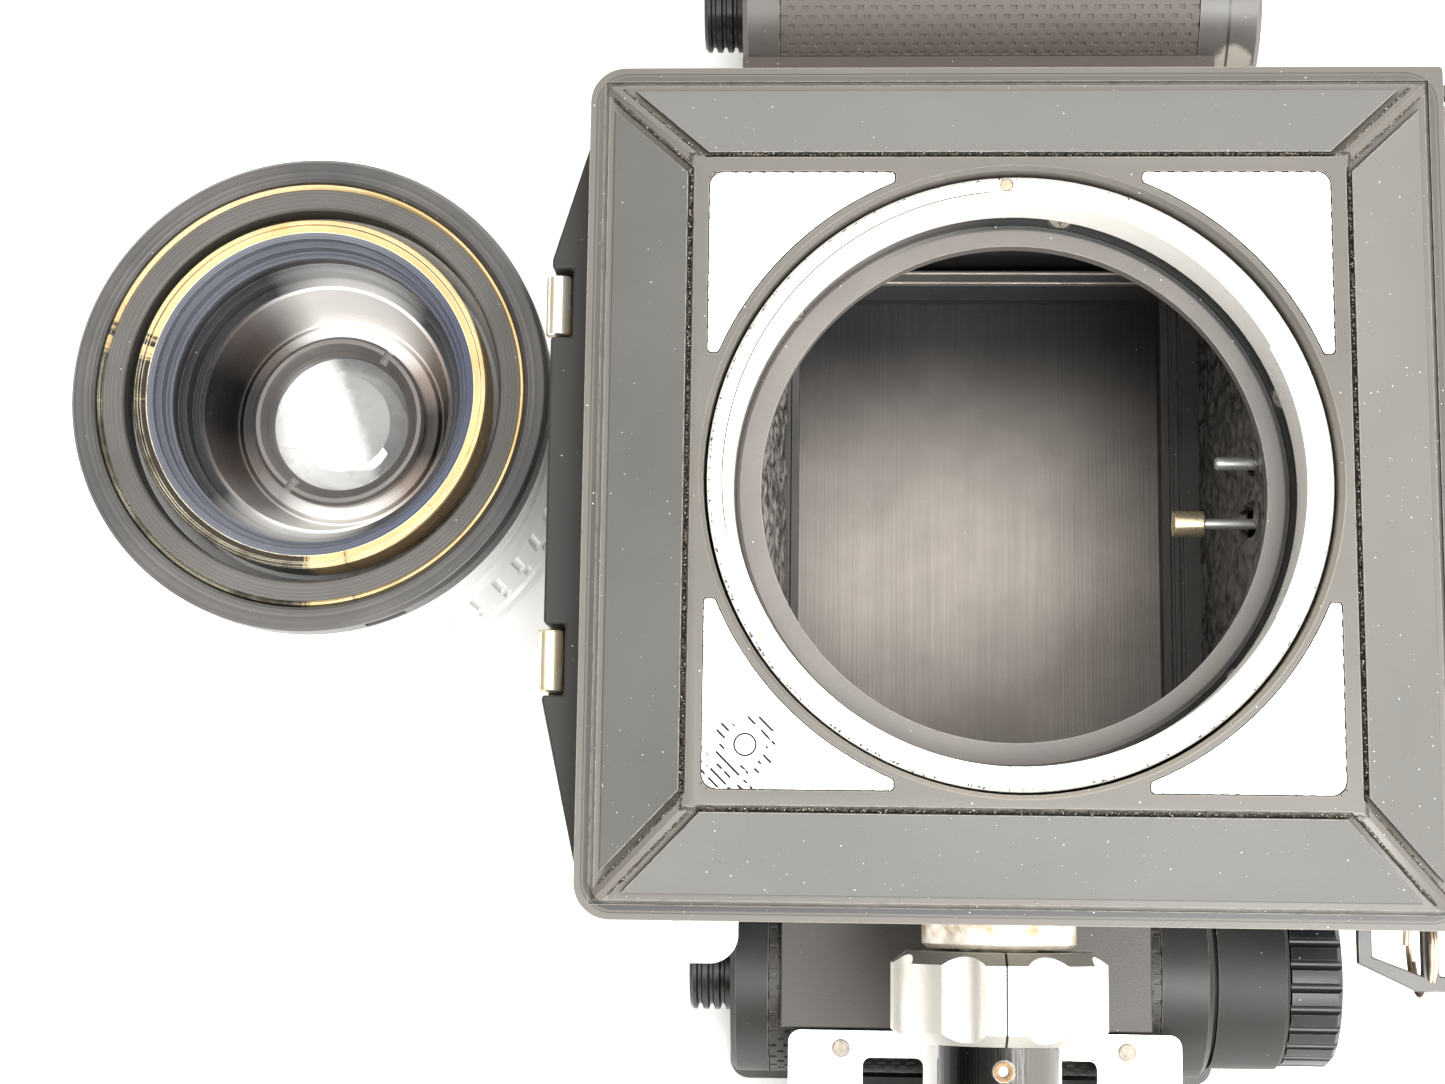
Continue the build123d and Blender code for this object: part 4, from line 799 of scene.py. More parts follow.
BASE_ENAMEL = Finish(
    "base_enamel", (0.014, 0.013, 0.012), (0.02, 0.019, 0.017), (0.45, 0.58), drift=45.0, specular=0.3,
    wear=Wear((0.2, 0.185, 0.16), 0.3, 0.5), dirt=GREY_DIRT, dust=0.06, scratch=0.02, grain=0.03,
    grain_scale=1800.0)
COVER_ENAMEL = Finish(
    "cover_enamel", (0.036, 0.032, 0.027), (0.056, 0.05, 0.043), (0.4, 0.52), drift=75.0, wear=CHARCOAL,
    specular=0.4, dirt=GREY_DIRT, dust=0.05, scratch=0.03, grain=0.02)
CHROME = Finish(
    "worn_chrome", (0.88, 0.87, 0.84), (0.78, 0.77, 0.73), (0.16, 0.3), 0.85, drift=90.0,
    dirt=Dirt((0.16, 0.12, 0.07), 0.6, 0.6), scratch=0.03, scratch_colour=(0.5, 0.46, 0.4), grain=0.004)
COLLAR_CHROME = Finish(
    "collar_chrome", (0.92, 0.9, 0.85), (0.84, 0.78, 0.66), (0.26, 0.4), 0.3, drift=70.0,
    dirt=Dirt((0.3, 0.2, 0.08), 1.4, 0.8), scratch=0.05, scratch_colour=(0.4, 0.34, 0.24), grain=0.01,
    extra=collar_shade)
LOCK_CHROME = Finish(
    "lock_ring_chrome", (0.9, 0.89, 0.86), (0.84, 0.82, 0.77), (0.24, 0.4), 0.2, drift=120.0,
    wear=Wear((0.4, 0.33, 0.22), 0.25, 0.45, 420.0, 0.45), dirt=Dirt((0.12, 0.09, 0.05), 0.35, 0.6),
    scratch=0.02, scratch_colour=(0.4, 0.36, 0.3), grain=0.004, extra=lock_shade)
SATIN_ALLOY = Finish(
    "satin_alloy", (0.87, 0.87, 0.85), (0.82, 0.82, 0.8), (0.3, 0.42), 0.8, drift=60.0,
    dirt=Dirt((0.2, 0.15, 0.09), 0.25, 0.5), grain=0.01)
PLATE_ALLOY = replace(SATIN_ALLOY, name="plate_alloy", extra=plate_shade)
NUT_ALLOY = Finish(
    "blasted_alloy", (0.82, 0.8, 0.75), (0.66, 0.64, 0.57), (0.36, 0.5), 0.9, drift=130.0,
    dirt=Dirt((0.2, 0.16, 0.1), 0.8, 0.6), scratch=0.03, grain=0.03, grain_scale=3600.0, extra=nut_shade)
BARREL_ALLOY = Finish(
    "barrel_alloy", (0.9, 0.9, 0.88), (0.84, 0.84, 0.82), (0.26, 0.38), 0.3, drift=80.0,
    dirt=Dirt((0.05, 0.045, 0.04), 0.5, 0.7), turned=LENS_AXIS, streak_depth=0.1, grain=0.006)
FLANGE_BLACK = Finish(
    "flange_black", (0.03, 0.029, 0.029), (0.12, 0.114, 0.11), (0.3, 0.44), 0.3, drift=32.0,
    wear=Wear((0.42, 0.39, 0.35), 0.2, 0.7, metallic=0.6), turned=LENS_AXIS, streak_depth=0.4,
    scratch=0.08, dust=0.03, grain=0.008)
GREY_ANODISED = Finish(
    "grey_anodised", (0.05, 0.047, 0.043), (0.105, 0.1, 0.094), (0.34, 0.46), 0.25, drift=36.0,
    wear=Wear((0.3, 0.28, 0.25), 0.15, 0.5, metallic=0.5), turned=LENS_AXIS, streak_depth=0.3,
    scratch=0.05, dust=0.06, grain=0.01)
BLUE_ANODISED = Finish(
    "blue_anodised", (0.065, 0.071, 0.09), (0.12, 0.127, 0.148), (0.26, 0.38), 0.35, drift=30.0,
    wear=Wear((0.3, 0.31, 0.35), 0.12, 0.5, metallic=0.5), turned=LENS_AXIS, streak_depth=0.3,
    dust=0.03, grain=0.006, extra=tube_shade)
BRASS_RING = Finish(
    "ring_brass", (0.72, 0.54, 0.26), (0.4, 0.25, 0.12), (0.22, 0.38), 0.85, drift=44.0,
    wear=Wear((0.98, 0.92, 0.72), 0.35, 0.9, 160.0, 0.85), dirt=Dirt((0.03, 0.02, 0.012), 0.5, 0.8),
    turned=LENS_AXIS, streak_depth=0.5, scratch=0.06, scratch_colour=(0.95, 0.86, 0.6), grain=0.012,
    extra=brass_breaks)
ROLLER_BRASS = Finish(
    "roller_brass", (0.72, 0.63, 0.45), (0.6, 0.48, 0.28), (0.2, 0.34), 0.8, drift=180.0,
    wear=Wear((0.9, 0.87, 0.8), 0.4, 0.8, 400.0, 0.8), dirt=Dirt((0.2, 0.13, 0.05), 0.5, 0.7), grain=0.01)
CONE_BLACK = Finish(
    "cone_black", (0.016, 0.015, 0.014), (0.05, 0.042, 0.036), (0.24, 0.34), 0.4, drift=26.0,
    turned=LENS_AXIS, streak_depth=0.5, dust=0.03, grain=0.006, extra=cone_painted_reflection)
CELL_GREY = Finish(
    "cell_grey", (0.12, 0.11, 0.105), (0.2, 0.185, 0.175), (0.24, 0.34), 0.6, drift=60.0,
    wear=Wear((0.5, 0.48, 0.46), 0.15, 0.6, metallic=0.8), dirt=Dirt((0.01, 0.01, 0.01), 0.4, 0.7),
    turned=LENS_AXIS, grain=0.006)
SEAT_BLACK = Finish(
    "seat_black", (0.085, 0.077, 0.072), (0.118, 0.107, 0.1), (0.44, 0.58), drift=65.0,
    wear=Wear((0.3, 0.285, 0.27), 0.3, 0.5), dirt=Dirt((0.012, 0.01, 0.008), 0.4, 0.5),
    dust=0.08, scratch=0.08, scratch_colour=(0.22, 0.205, 0.19), grain=0.03, grain_scale=1600.0,
    extra=seat_shade)
MATT_BLACK = Finish(
    "matt_black", (0.017, 0.016, 0.015), (0.026, 0.025, 0.023), (0.5, 0.62), drift=60.0, specular=0.3,
    wear=Wear((0.2, 0.19, 0.18), 0.25, 0.5), dirt=GREY_DIRT, dust=0.08, grain=0.02)
GATE_BLACK = Finish(
    "gate_black", (0.05, 0.047, 0.043), (0.075, 0.07, 0.065), (0.4, 0.55), 0.2, drift=60.0,
    wear=Wear((0.34, 0.32, 0.3), 0.2, 0.7), dirt=Dirt((0.012, 0.01, 0.008), 0.4, 0.6), dust=0.1, scratch=0.05,
    grain=0.01)
RAIL_STEEL = Finish(
    "rail_steel", (0.8, 0.74, 0.66), (0.45, 0.36, 0.3), (0.25, 0.4), 0.8, drift=110.0, scratch=0.1,
    streak=(20.0, 2200.0, 2200.0), streak_depth=0.4, dust=0.04, grain=0.008)
LUG_BLACK = Finish(
    "lug_black", (0.04, 0.038, 0.036), (0.06, 0.056, 0.05), (0.3, 0.42), drift=90.0,
    wear=Wear((0.45, 0.4, 0.32), 0.3, 0.7, metallic=0.6), dirt=GREY_DIRT, scratch=0.05, grain=0.01)
RING_STEEL = Finish(
    "ring_steel", (0.62, 0.5, 0.38), (0.5, 0.38, 0.28), (0.2, 0.34), 1.0, drift=160.0,
    dirt=Dirt((0.08, 0.05, 0.03), 0.4, 0.7), scratch=0.05, grain=0.008)
STOP_BRONZE = Finish(
    "stop_bronze", (0.2, 0.15, 0.1), (0.5, 0.41, 0.31), (0.35, 0.5), 0.3, drift=900.0,
    wear=Wear((0.6, 0.5, 0.38), 0.12, 0.6), dirt=Dirt((0.01, 0.008, 0.005), 0.4, 0.9), grain=0.01)
SCREW_STEEL = Finish(
    "screw_steel", (0.5, 0.47, 0.42), (0.36, 0.33, 0.29), (0.24, 0.38), 0.9, drift=300.0,
    dirt=Dirt((0.06, 0.045, 0.03), 0.5, 0.8), grain=0.01)
DARK_CHROME = Finish(
    "dark_chrome", (0.008, 0.008, 0.008), (0.03, 0.029, 0.026), (0.08, 0.15), 0.9, drift=60.0,
    wear=Wear((0.5, 0.47, 0.42), 0.15, 0.5, metallic=0.9), dust=0.06, scratch=0.03,
    streak=(1500.0, 14.0, 1500.0), streak_depth=0.6, grain=0.003, specular=0.25, extra=pipe_shade)
KNOB_BLACK = Finish(
    "knob_black", (0.01, 0.01, 0.011), (0.014, 0.014, 0.014), (0.24, 0.38), drift=120.0, specular=0.3,
    wear=Wear((0.14, 0.13, 0.12), 0.25, 0.5), dirt=Dirt((0.1, 0.09, 0.075), 0.5, 0.3), dust=0.08,
    grain=0.006)
GRIP_PLASTIC = Finish(
    "grip_plastic", (0.03, 0.03, 0.031), (0.042, 0.041, 0.04), (0.42, 0.55), drift=50.0,
    wear=Wear((0.14, 0.135, 0.13), 0.5, 0.5), dust=0.06, scratch=0.02, grain=0.06, grain_scale=1500.0)
MAGAZINE_BLACK = Finish(
    "magazine_black", (0.03, 0.028, 0.026), (0.042, 0.04, 0.036), (0.45, 0.58), drift=60.0, specular=0.35,
    wear=Wear((0.2, 0.19, 0.18), 0.25, 0.5), dirt=GREY_DIRT, dust=0.06, grain=0.02, extra=skirt_shade)
SPOOL_PLASTIC = Finish(
    "spool_plastic", (0.06, 0.058, 0.055), (0.08, 0.076, 0.07), (0.4, 0.5), drift=60.0, dust=0.03,
    wear=Wear((0.2, 0.19, 0.17), 0.3, 0.5), grain=0.02)
SCREW_BRONZE = Finish(
    "screw_bronze", (0.1, 0.055, 0.02), (0.26, 0.15, 0.06), (0.4, 0.55), drift=1300.0, specular=0.4,
    grain=0.02)
RIVET_WORN = Finish(
    "rivet_worn", (0.2, 0.17, 0.135), (0.5, 0.44, 0.37), (0.4, 0.55), drift=1100.0, specular=0.4, grain=0.02)
LEATHERETTE = Finish(
    "leatherette", (0.066, 0.053, 0.046), (0.094, 0.077, 0.068), (0.45, 0.58), drift=45.0, specular=0.4,
    wear=Wear((0.26, 0.235, 0.21), 0.22, 0.5), dirt=Dirt((0.012, 0.009, 0.006), 0.5, 1.0), dust=0.05,
    grain=0.03, grain_scale=1500.0, extra=hide_shade)
FEET_CHROME = Finish(
    "feet_chrome", (0.84, 0.82, 0.78), (0.72, 0.56, 0.26), (0.16, 0.3), 0.85, drift=210.0,
    wear=Wear((0.5, 0.34, 0.1), 0.6, 0.9, 420.0, 0.85), dirt=Dirt((0.24, 0.15, 0.04), 1.0, 0.9), grain=0.006)
GROOVE_DIRT = Finish(
    "groove_dirt", (0.01, 0.008, 0.006), (0.09, 0.077, 0.054), (0.8, 0.95), drift=900.0, dust=0.5, grain=0.05,
    specular=0.2)
LINT = Finish(
    "lint", (0.45, 0.43, 0.38), (0.24, 0.22, 0.18), (0.7, 0.9), drift=700.0, grain=0.05, dust=0.1)
SLIDE_STEEL = Finish(
    "slide_steel", (0.014, 0.014, 0.015), (0.022, 0.021, 0.02), (0.32, 0.5), 0.2, drift=30.0, specular=0.3,
    streak=(1800.0, 12.0, 1.0), streak_depth=0.35, scratch=0.015, dust=0.015, grain=0.01, extra=slide_shade)
LINER_LEATHER = Finish(
    "liner_leather", (0.24, 0.23, 0.218), (0.36, 0.342, 0.324), (0.24, 0.4), drift=70.0, grain=0.02,
    extra=crease_shade, dust=0.03)
DRUM_WORN = Finish(
    "drum_worn", (0.062, 0.058, 0.055), (0.1, 0.094, 0.086), (0.34, 0.46), drift=70.0, wear=CHARCOAL,
    dirt=GREY_DIRT, dust=0.05, scratch=0.02, grain=0.01, extra=worn_patch)
# painted shade: a darkened copy of the drums' enamel for the take-up drum, as if shaded by the frame
DRUM_ENAMEL_SHADED = Finish(
    "drum_enamel_shaded", (0.022, 0.022, 0.021), (0.03, 0.03, 0.028), (0.38, 0.5), drift=50.0, wear=CHARCOAL,
    dirt=GREY_DIRT, dust=0.05, scratch=0.02, grain=0.01, specular=0.25)
REAR_GLASS = Glass("rear_glass", (0.96, 0.97, 0.98))
FRONT_GLASS = Glass("front_glass", (0.9, 0.89, 0.95))
FINDER_GLASS = Glass("finder_glass", (0.93, 0.96, 0.95), 0.03, 1.52)


# ------------------------------------------------------------------ mesh helpers

def shade(mesh: bpy.types.Mesh, angle: float = 32.0) -> None:
    """Shade smooth, with edges sharper than an angle in degrees kept sharp.

    Args:
        mesh: the mesh.
        angle: how sharp an edge may be and still look smooth, in degrees.
    """
    bm = bmesh.new()
    bm.from_mesh(mesh)
    for face in bm.faces:
        face.smooth = True
    for edge in bm.edges:
        edge.smooth = len(edge.link_faces) == 2 and edge.calc_face_angle(math.pi) < math.radians(angle)
    bm.to_mesh(mesh)
    bm.free()


def settle(name: str, bm: bmesh.types.BMesh, body: str, slot: str, finish: Any, *nodes: str,
           bevel: float = 0.0, segments: int = 2, wall: float = 0.0, angle: float = 32.0,
           outward: bool = True) -> bpy.types.Object:
    """Turn a finished bmesh into a piece of the camera.

    Args:
        name: the piece's name.
        bm: the mesh, in metres in the shared frame; it is freed.
        body: the body that it rides on.
        slot: the record's material slot; not used.
        finish: its finish.
        nodes: the CAD nodes that it stands for.
        bevel: a bevel's width in millimetres.
        segments: the bevel's segments.
        wall: thickness given inwards to an open shell, in millimetres.
        angle: edges sharper than this many degrees stay sharp.
        outward: whether to recalculate the normals.

    Returns:
        The new object.
    """
    if outward:
        bmesh.ops.recalc_face_normals(bm, faces=bm.faces)
    mesh = bpy.data.meshes.new(name)
    bm.to_mesh(mesh)
    bm.free()
    old = mesh.attributes.get("custom_normal")
    if old:
        mesh.attributes.remove(old)
    piece = bpy.data.objects.new(name, mesh)
    bpy.context.scene.collection.objects.link(piece)
    mesh.materials.append(finish.material())
    shade(mesh, 180.0 if bevel else angle)
    if bevel:
        soft = piece.modifiers.new("edge", "BEVEL")
        soft.width, soft.segments = MM * bevel, segments
        soft.limit_method, soft.angle_limit = "ANGLE", math.radians(angle)
        soft.harden_normals = True
    if wall:
        thick = piece.modifiers.new("wall", "SOLIDIFY")
        thick.thickness, thick.offset = MM * wall, -1.0
    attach(piece, body)
    if nodes:
        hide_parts(*nodes)
    log.info("%s: %d faces on %s, %s", name, len(mesh.polygons), body, finish.name)
    return piece


def merged(node: str, flat: bool = True) -> bmesh.types.BMesh:
    """A copy of a CAD node's mesh with its triangles joined.

    Args:
        node: the CAD node.
        flat: whether its flat faces are joined into one too, which a turned part doesn't bear.

    Returns:
        The new mesh.
    """
    bm = bmesh.new()
    bm.from_mesh(frame["nodes"][node].data)
    bmesh.ops.remove_doubles(bm, verts=bm.verts, dist=MERGE)
    if flat:
        bmesh.ops.dissolve_limit(bm, angle_limit=math.radians(0.4), verts=bm.verts, edges=bm.edges)
    for face in bm.faces:
        face.material_index = 0
    return bm


def softened(node: str, finish: Any, bevel: float = 0.15, segments: int = 2,
             flat: bool = True) -> bpy.types.Object:
    """Stand in for a CAD node with a merged copy whose edges are broken.

    Args:
        node: the CAD node.
        finish: its finish.
        bevel: the width of the broken edge in millimetres.
        segments: the bevel's segments.
        flat: whether its flat faces are joined into one first.

    Returns:
        The new object.
    """
    slots = {row["node"]: row["material_slot"] for row in frame["record"]["subparts"]}
    return settle("soft_" + node, merged(node, flat), frame["nodes"][node]["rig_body"], slots[node], finish,
                  node, bevel=bevel, segments=segments, outward=False)


def dress(finish: Any, *nodes: str) -> None:
    """Give CAD nodes, which stay as they are, a finish.

    Args:
        finish: the finish.
        nodes: the CAD nodes.
    """
    for node in nodes:
        materials = frame["nodes"][node].data.materials
        materials.clear()
        materials.append(finish.material())
        log.info("%s keeps its CAD shape, %s", node, finish.name)


def cut(bm: bmesh.types.BMesh, at: Vector, way: Sequence[float]) -> None:
    """Cut a whole mesh by the plane through a point in metres that faces a way."""
    whole = bm.verts[:] + bm.edges[:] + bm.faces[:]
    bmesh.ops.bisect_plane(bm, geom=whole, dist=CUT, plane_co=at, plane_no=way)


def lathe(profile: Sequence[tuple[float, float]], centre: Triple = (0.0, 0.0, 0.0), steps: int = 96,
          angle: float = 360.0, rise: float = 0.0) -> bmesh.types.BMesh:
    """Spin a closed outline round an upright axis.

    Args:
        profile: radius and height of each corner, in millimetres, in order round the outline.
        centre: where the axis starts, in millimetres.
        steps: steps in the spin.
        angle: how far it spins, in degrees.
        rise: how far it climbs along the axis over the spin, in millimetres.

    Returns:
        The new mesh, in metres in the shared frame.
    """
    bm = bmesh.new()
    corners = [bm.verts.new((MM * r, 0.0, MM * z)) for r, z in profile]
    edges = [bm.edges.new(pair) for pair in zip(corners, corners[1:] + corners[:1])]
    whole = angle == 360.0 and not rise
    bmesh.ops.spin(bm, geom=corners + edges, cent=(0.0, 0.0, 0.0), axis=(0.0, 0.0, 1.0),
                   dvec=(0.0, 0.0, MM * rise / steps), angle=math.radians(angle), steps=steps,
                   use_merge=whole)
    bmesh.ops.remove_doubles(bm, verts=bm.verts, dist=1e-7)
    if not whole:
        bmesh.ops.holes_fill(bm, edges=[edge for edge in bm.edges if edge.is_boundary], sides=0)
    bmesh.ops.translate(bm, verts=bm.verts, vec=MM * Vector(centre))
    return bm


def bar(low: Triple, high: Triple) -> bmesh.types.BMesh:
    """A square-edged bar between two corners in millimetres.

    Args:
        low: the lowest corner in millimetres.
        high: the highest corner in millimetres.

    Returns:
        The new mesh, in metres in the shared frame.
    """
    bm = bmesh.new()
    bmesh.ops.create_cube(bm, size=1.0)
    bmesh.ops.scale(bm, vec=MM * (Vector(high) - Vector(low)), verts=bm.verts)
    bmesh.ops.translate(bm, vec=MM * (Vector(high) + Vector(low)) / 2, verts=bm.verts)
    return bm


def scatter(bm: bmesh.types.BMesh, spots: Sequence[Triple], sizes: tuple[float, float], squash: float,
            rng: random.Random) -> None:
    """Strew small rough crumbs, joined lot by lot because a growing mesh slows down.

    Args:
        bm: the mesh to add to.
        spots: their places in millimetres.
        sizes: smallest and largest radius in millimetres.
        squash: how flat they lie.
        rng: the source of chance.
    """
    lot, rough, spacing, headroom = 60, 0.25, 9000.0, 1.3
    for start in range(0, len(spots), lot):
        batch, part = bmesh.new(), bpy.data.meshes.new("crumbs")
        for x, y, z in spots[start:start + lot]:
            radius = rng.uniform(*sizes)
            grow = Matrix.Diagonal((rng.uniform(0.7, 1.9), rng.uniform(0.6, 1.1), squash, 1.0))
            turn = Matrix.Rotation(rng.uniform(0.0, math.pi), 4, "Z")
            low = MM * Vector((x, y, min(z, TOP_Z - headroom * radius * squash)))
            crumb = bmesh.ops.create_icosphere(batch, subdivisions=1, radius=MM * radius,
                                               matrix=Matrix.Translation(low) @ turn @ grow)
            for vert in crumb["verts"]:
                vert.co += MM * radius * rough * noise.noise_vector(vert.co * spacing)
        batch.to_mesh(part)
        batch.free()
        bm.from_mesh(part)
        bpy.data.meshes.remove(part)


# ------------------------------------------------------------------ sub-assemblies

@dataclass
class FrontFrame:
    """The sloped square frame round the throat with its panels and corner plates; in millimetres."""

    rim_z: float = 100.0
    face_half: float = 40.5
    face_z: float = 106.0
    slope_foot: float = 52.0
    gap_out: float = 40.95
    gap_run: float = 41.2
    mitre: float = 1.27
    plate_top: float = 106.1
    plate_half: float = 38.5
    rib_pitch: float = 0.62
    rib_depth: float = 0.14
    ring_at: Triple = (-33.3, -33.2, 106.1)
    ring_r: float = 3.0
    rng: random.Random = field(default_factory=lambda: random.Random(41))

    def slope(self, half: float) -> float:
        """Height of the slope at a distance from the middle."""
        share = (half - self.face_half) / (self.slope_foot - self.face_half)
        return self.face_z - share * (self.face_z - self.rim_z)

    def plates(self) -> None:
        """The four corner plates, finely ribbed on the slant, with a plain round place on one."""
        bm = merged("corner_plates")
        slant = Vector((1.0, 1.0, 0.0)).normalized()
        count = int(2.0 * 55.0 / self.rib_pitch)
        for index in range(-count // 2, count // 2 + 1):
            cut(bm, slant * MM * index * self.rib_pitch, slant)
        spot = MM * Vector(self.ring_at)
        for face in bm.faces[:]:
            middle = face.calc_center_median()
            if (face.normal.z > FACES_UP and middle.z > MM * (self.plate_top - 0.02)
                    and math.floor(middle.dot(slant) / (MM * self.rib_pitch)) % 2
                    and (middle - spot).length > MM * self.ring_r):
                moved = bmesh.ops.extrude_discrete_faces(bm, faces=[face])["faces"][0]
                bmesh.ops.translate(bm, verts=moved.verts[:], vec=(0.0, 0.0, -MM * self.rib_depth))
        settle("corner_plates_ribbed", bm, "camera", "satin_alloy", PLATE_ALLOY, "corner_plates", angle=25.0)

    def crumbs(self) -> None:
        """Dirt packed in the grooves, and pale lint on the panels."""
        rng, sides, ends = self.rng, (0, 1, 2, 3), (-1.0, 1.0)
        dark, pale, spots, flecks = bmesh.new(), bmesh.new(), [], []
        for _ in range(1500):
            side, run = rng.choice(sides), rng.uniform(-self.gap_run, self.gap_run)
            spots.append(self.lying(side, run, 40.92 + rng.gauss(0.0, 0.1), -0.02))
        for _ in range(1500):
            side, share, end = rng.choice(sides), rng.random() ** 1.3, rng.choice(ends)
            out = 41.5 + 9.8 * share
            spots.append(self.lying(side, end * (out - self.mitre + rng.gauss(0.0, 0.05)), out, 0.02))
        for index in range(26):
            run = self.plate_half - 0.6 - 0.88 * index
            spots += [self.turned_to(side, end * run, self.plate_half + 0.02, self.face_z + 0.02)
                      for side in sides for end in ends]
        for _ in range(300):
            side, out = rng.choice((*sides, 3)), rng.uniform(41.4, 53.8)
            flecks.append(self.lying(side, rng.uniform(-0.94, 0.94) * out, out, 0.02))
        for _ in range(420):
            side, run = rng.choice(sides), rng.uniform(-self.gap_run, self.gap_run)
            x, y, _ = self.turned_to(side, run, self.gap_out + rng.gauss(0.0, 0.12), 0.0)
            flecks.append((x, y, self.slope(self.gap_out) + 0.14))
        for _ in range(160):
            side, out, end = rng.choice(sides), rng.uniform(41.5, 51.0), rng.choice(ends)
            flecks.append(self.lying(side, end * (out - self.mitre + rng.gauss(0.0, 0.1)), out, 0.16))
        scatter(dark, spots, (0.06, 0.17), 0.6, rng)
        scatter(pale, flecks, (0.03, 0.08), 0.35, rng)
        settle("groove_dirt", dark, "camera", "black_paint", GROOVE_DIRT, angle=80.0)
        settle("panel_lint", pale, "camera", "grey_panel", LINT, angle=80.0)

    def lying(self, side: int, run: float, out: float, lift: float) -> Triple:
        """A point a little over the slope or the rim; the arguments are turned_to's, with a lift for z."""
        return self.turned_to(side, run, out, max(self.slope(out), self.rim_z) + lift)

    def turned_to(self, side: int, run: float, out: float, z: float) -> Triple:
        """A point on one of the four sides, 0 the lens's side and then round.

        Args:
            side: which side.
            run: how far along it, in millimetres.
            out: how far from the middle, in millimetres.
            z: its height in millimetres.

        Returns:
            The point in millimetres.
        """
        return ((-out, run, z), (run, out, z), (out, run, z), (run, -out, z))[side]

    def build(self) -> None:
        """Make the frame's pieces."""
        softened("front_frame", FRAME_ENAMEL, bevel=0.22, segments=3)
        softened("trim_panels", PANEL_ENAMEL, bevel=0.14)
        self.plates()
        self.crumbs()


@dataclass
class Throat:
    """The lens seat and its lock ring; in millimetres."""

    lock_r: float = 38.5
    lock_z: float = 104.3
    stop_r: float = 37.45
    slot_depth: float = 0.25

    def stop(self, name: str, angle: float, radius: float, top: float) -> None:
        """A slotted stop screw sunk in the lock ring.

        Args:
            name: the screw's name.
            angle: where it stands on the ring, in degrees.
            radius: its head's radius in millimetres.
            top: the height of its head in millimetres.
        """
        turn, across = math.radians(angle), Vector((1.0, 0.0, 0.0))
        at = (self.stop_r * math.cos(turn), self.stop_r * math.sin(turn), top)
        bm = lathe(((0.0, -0.7), (radius, -0.7), (radius, -0.12), (0.85 * radius, 0.0), (0.0, 0.0)), at, 32)
        slot = 0.2 * radius
        for offset in (-slot, slot):
            cut(bm, MM * (Vector(at) + offset * across), across)
        middle = [face for face in bm.faces if face.normal.z > FACES_UP
                  and abs(face.calc_center_median().x - MM * at[0]) < MM * slot]
        sunk = bmesh.ops.extrude_face_region(bm, geom=middle)["geom"]
        bmesh.ops.translate(bm, verts=[item for item in sunk if isinstance(item, bmesh.types.BMVert)],
                            vec=(0.0, 0.0, -MM * self.slot_depth))
        bmesh.ops.delete(bm, geom=[face for face in middle if face.is_valid], context="FACES_ONLY")
        settle(name, bm, "lock_ring", "chrome", STOP_BRONZE, angle=35.0)

    def grime(self) -> None:
        """Brown dirt that has crept round the lock ring's outer edge."""
        rng, bm, spots = random.Random(7), bmesh.new(), []
        for _ in range(330):
            angle, out = math.radians(rng.gauss(215.0, 62.0)), self.lock_r - 0.35 + rng.gauss(0.0, 0.12)
            spots.append((out * math.cos(angle), out * math.sin(angle), self.lock_z - 0.1))
        scatter(bm, spots, (0.04, 0.13), 0.5, rng)
        settle("lock_ring_dirt", bm, "lock_ring", "chrome", GROOVE_DIRT, angle=80.0)

    def build(self) -> None:
        """Make the throat's pieces."""
        dress(SEAT_BLACK, "throat_ring")
        softened("lock_ring", LOCK_CHROME, bevel=0.16, flat=False)
        self.stop("lock_stop_screw", 92.0, 0.8, self.lock_z - 0.15)
        self.stop("lock_stop_pin", 212.0, 0.42, self.lock_z + 0.05)
        self.grime()


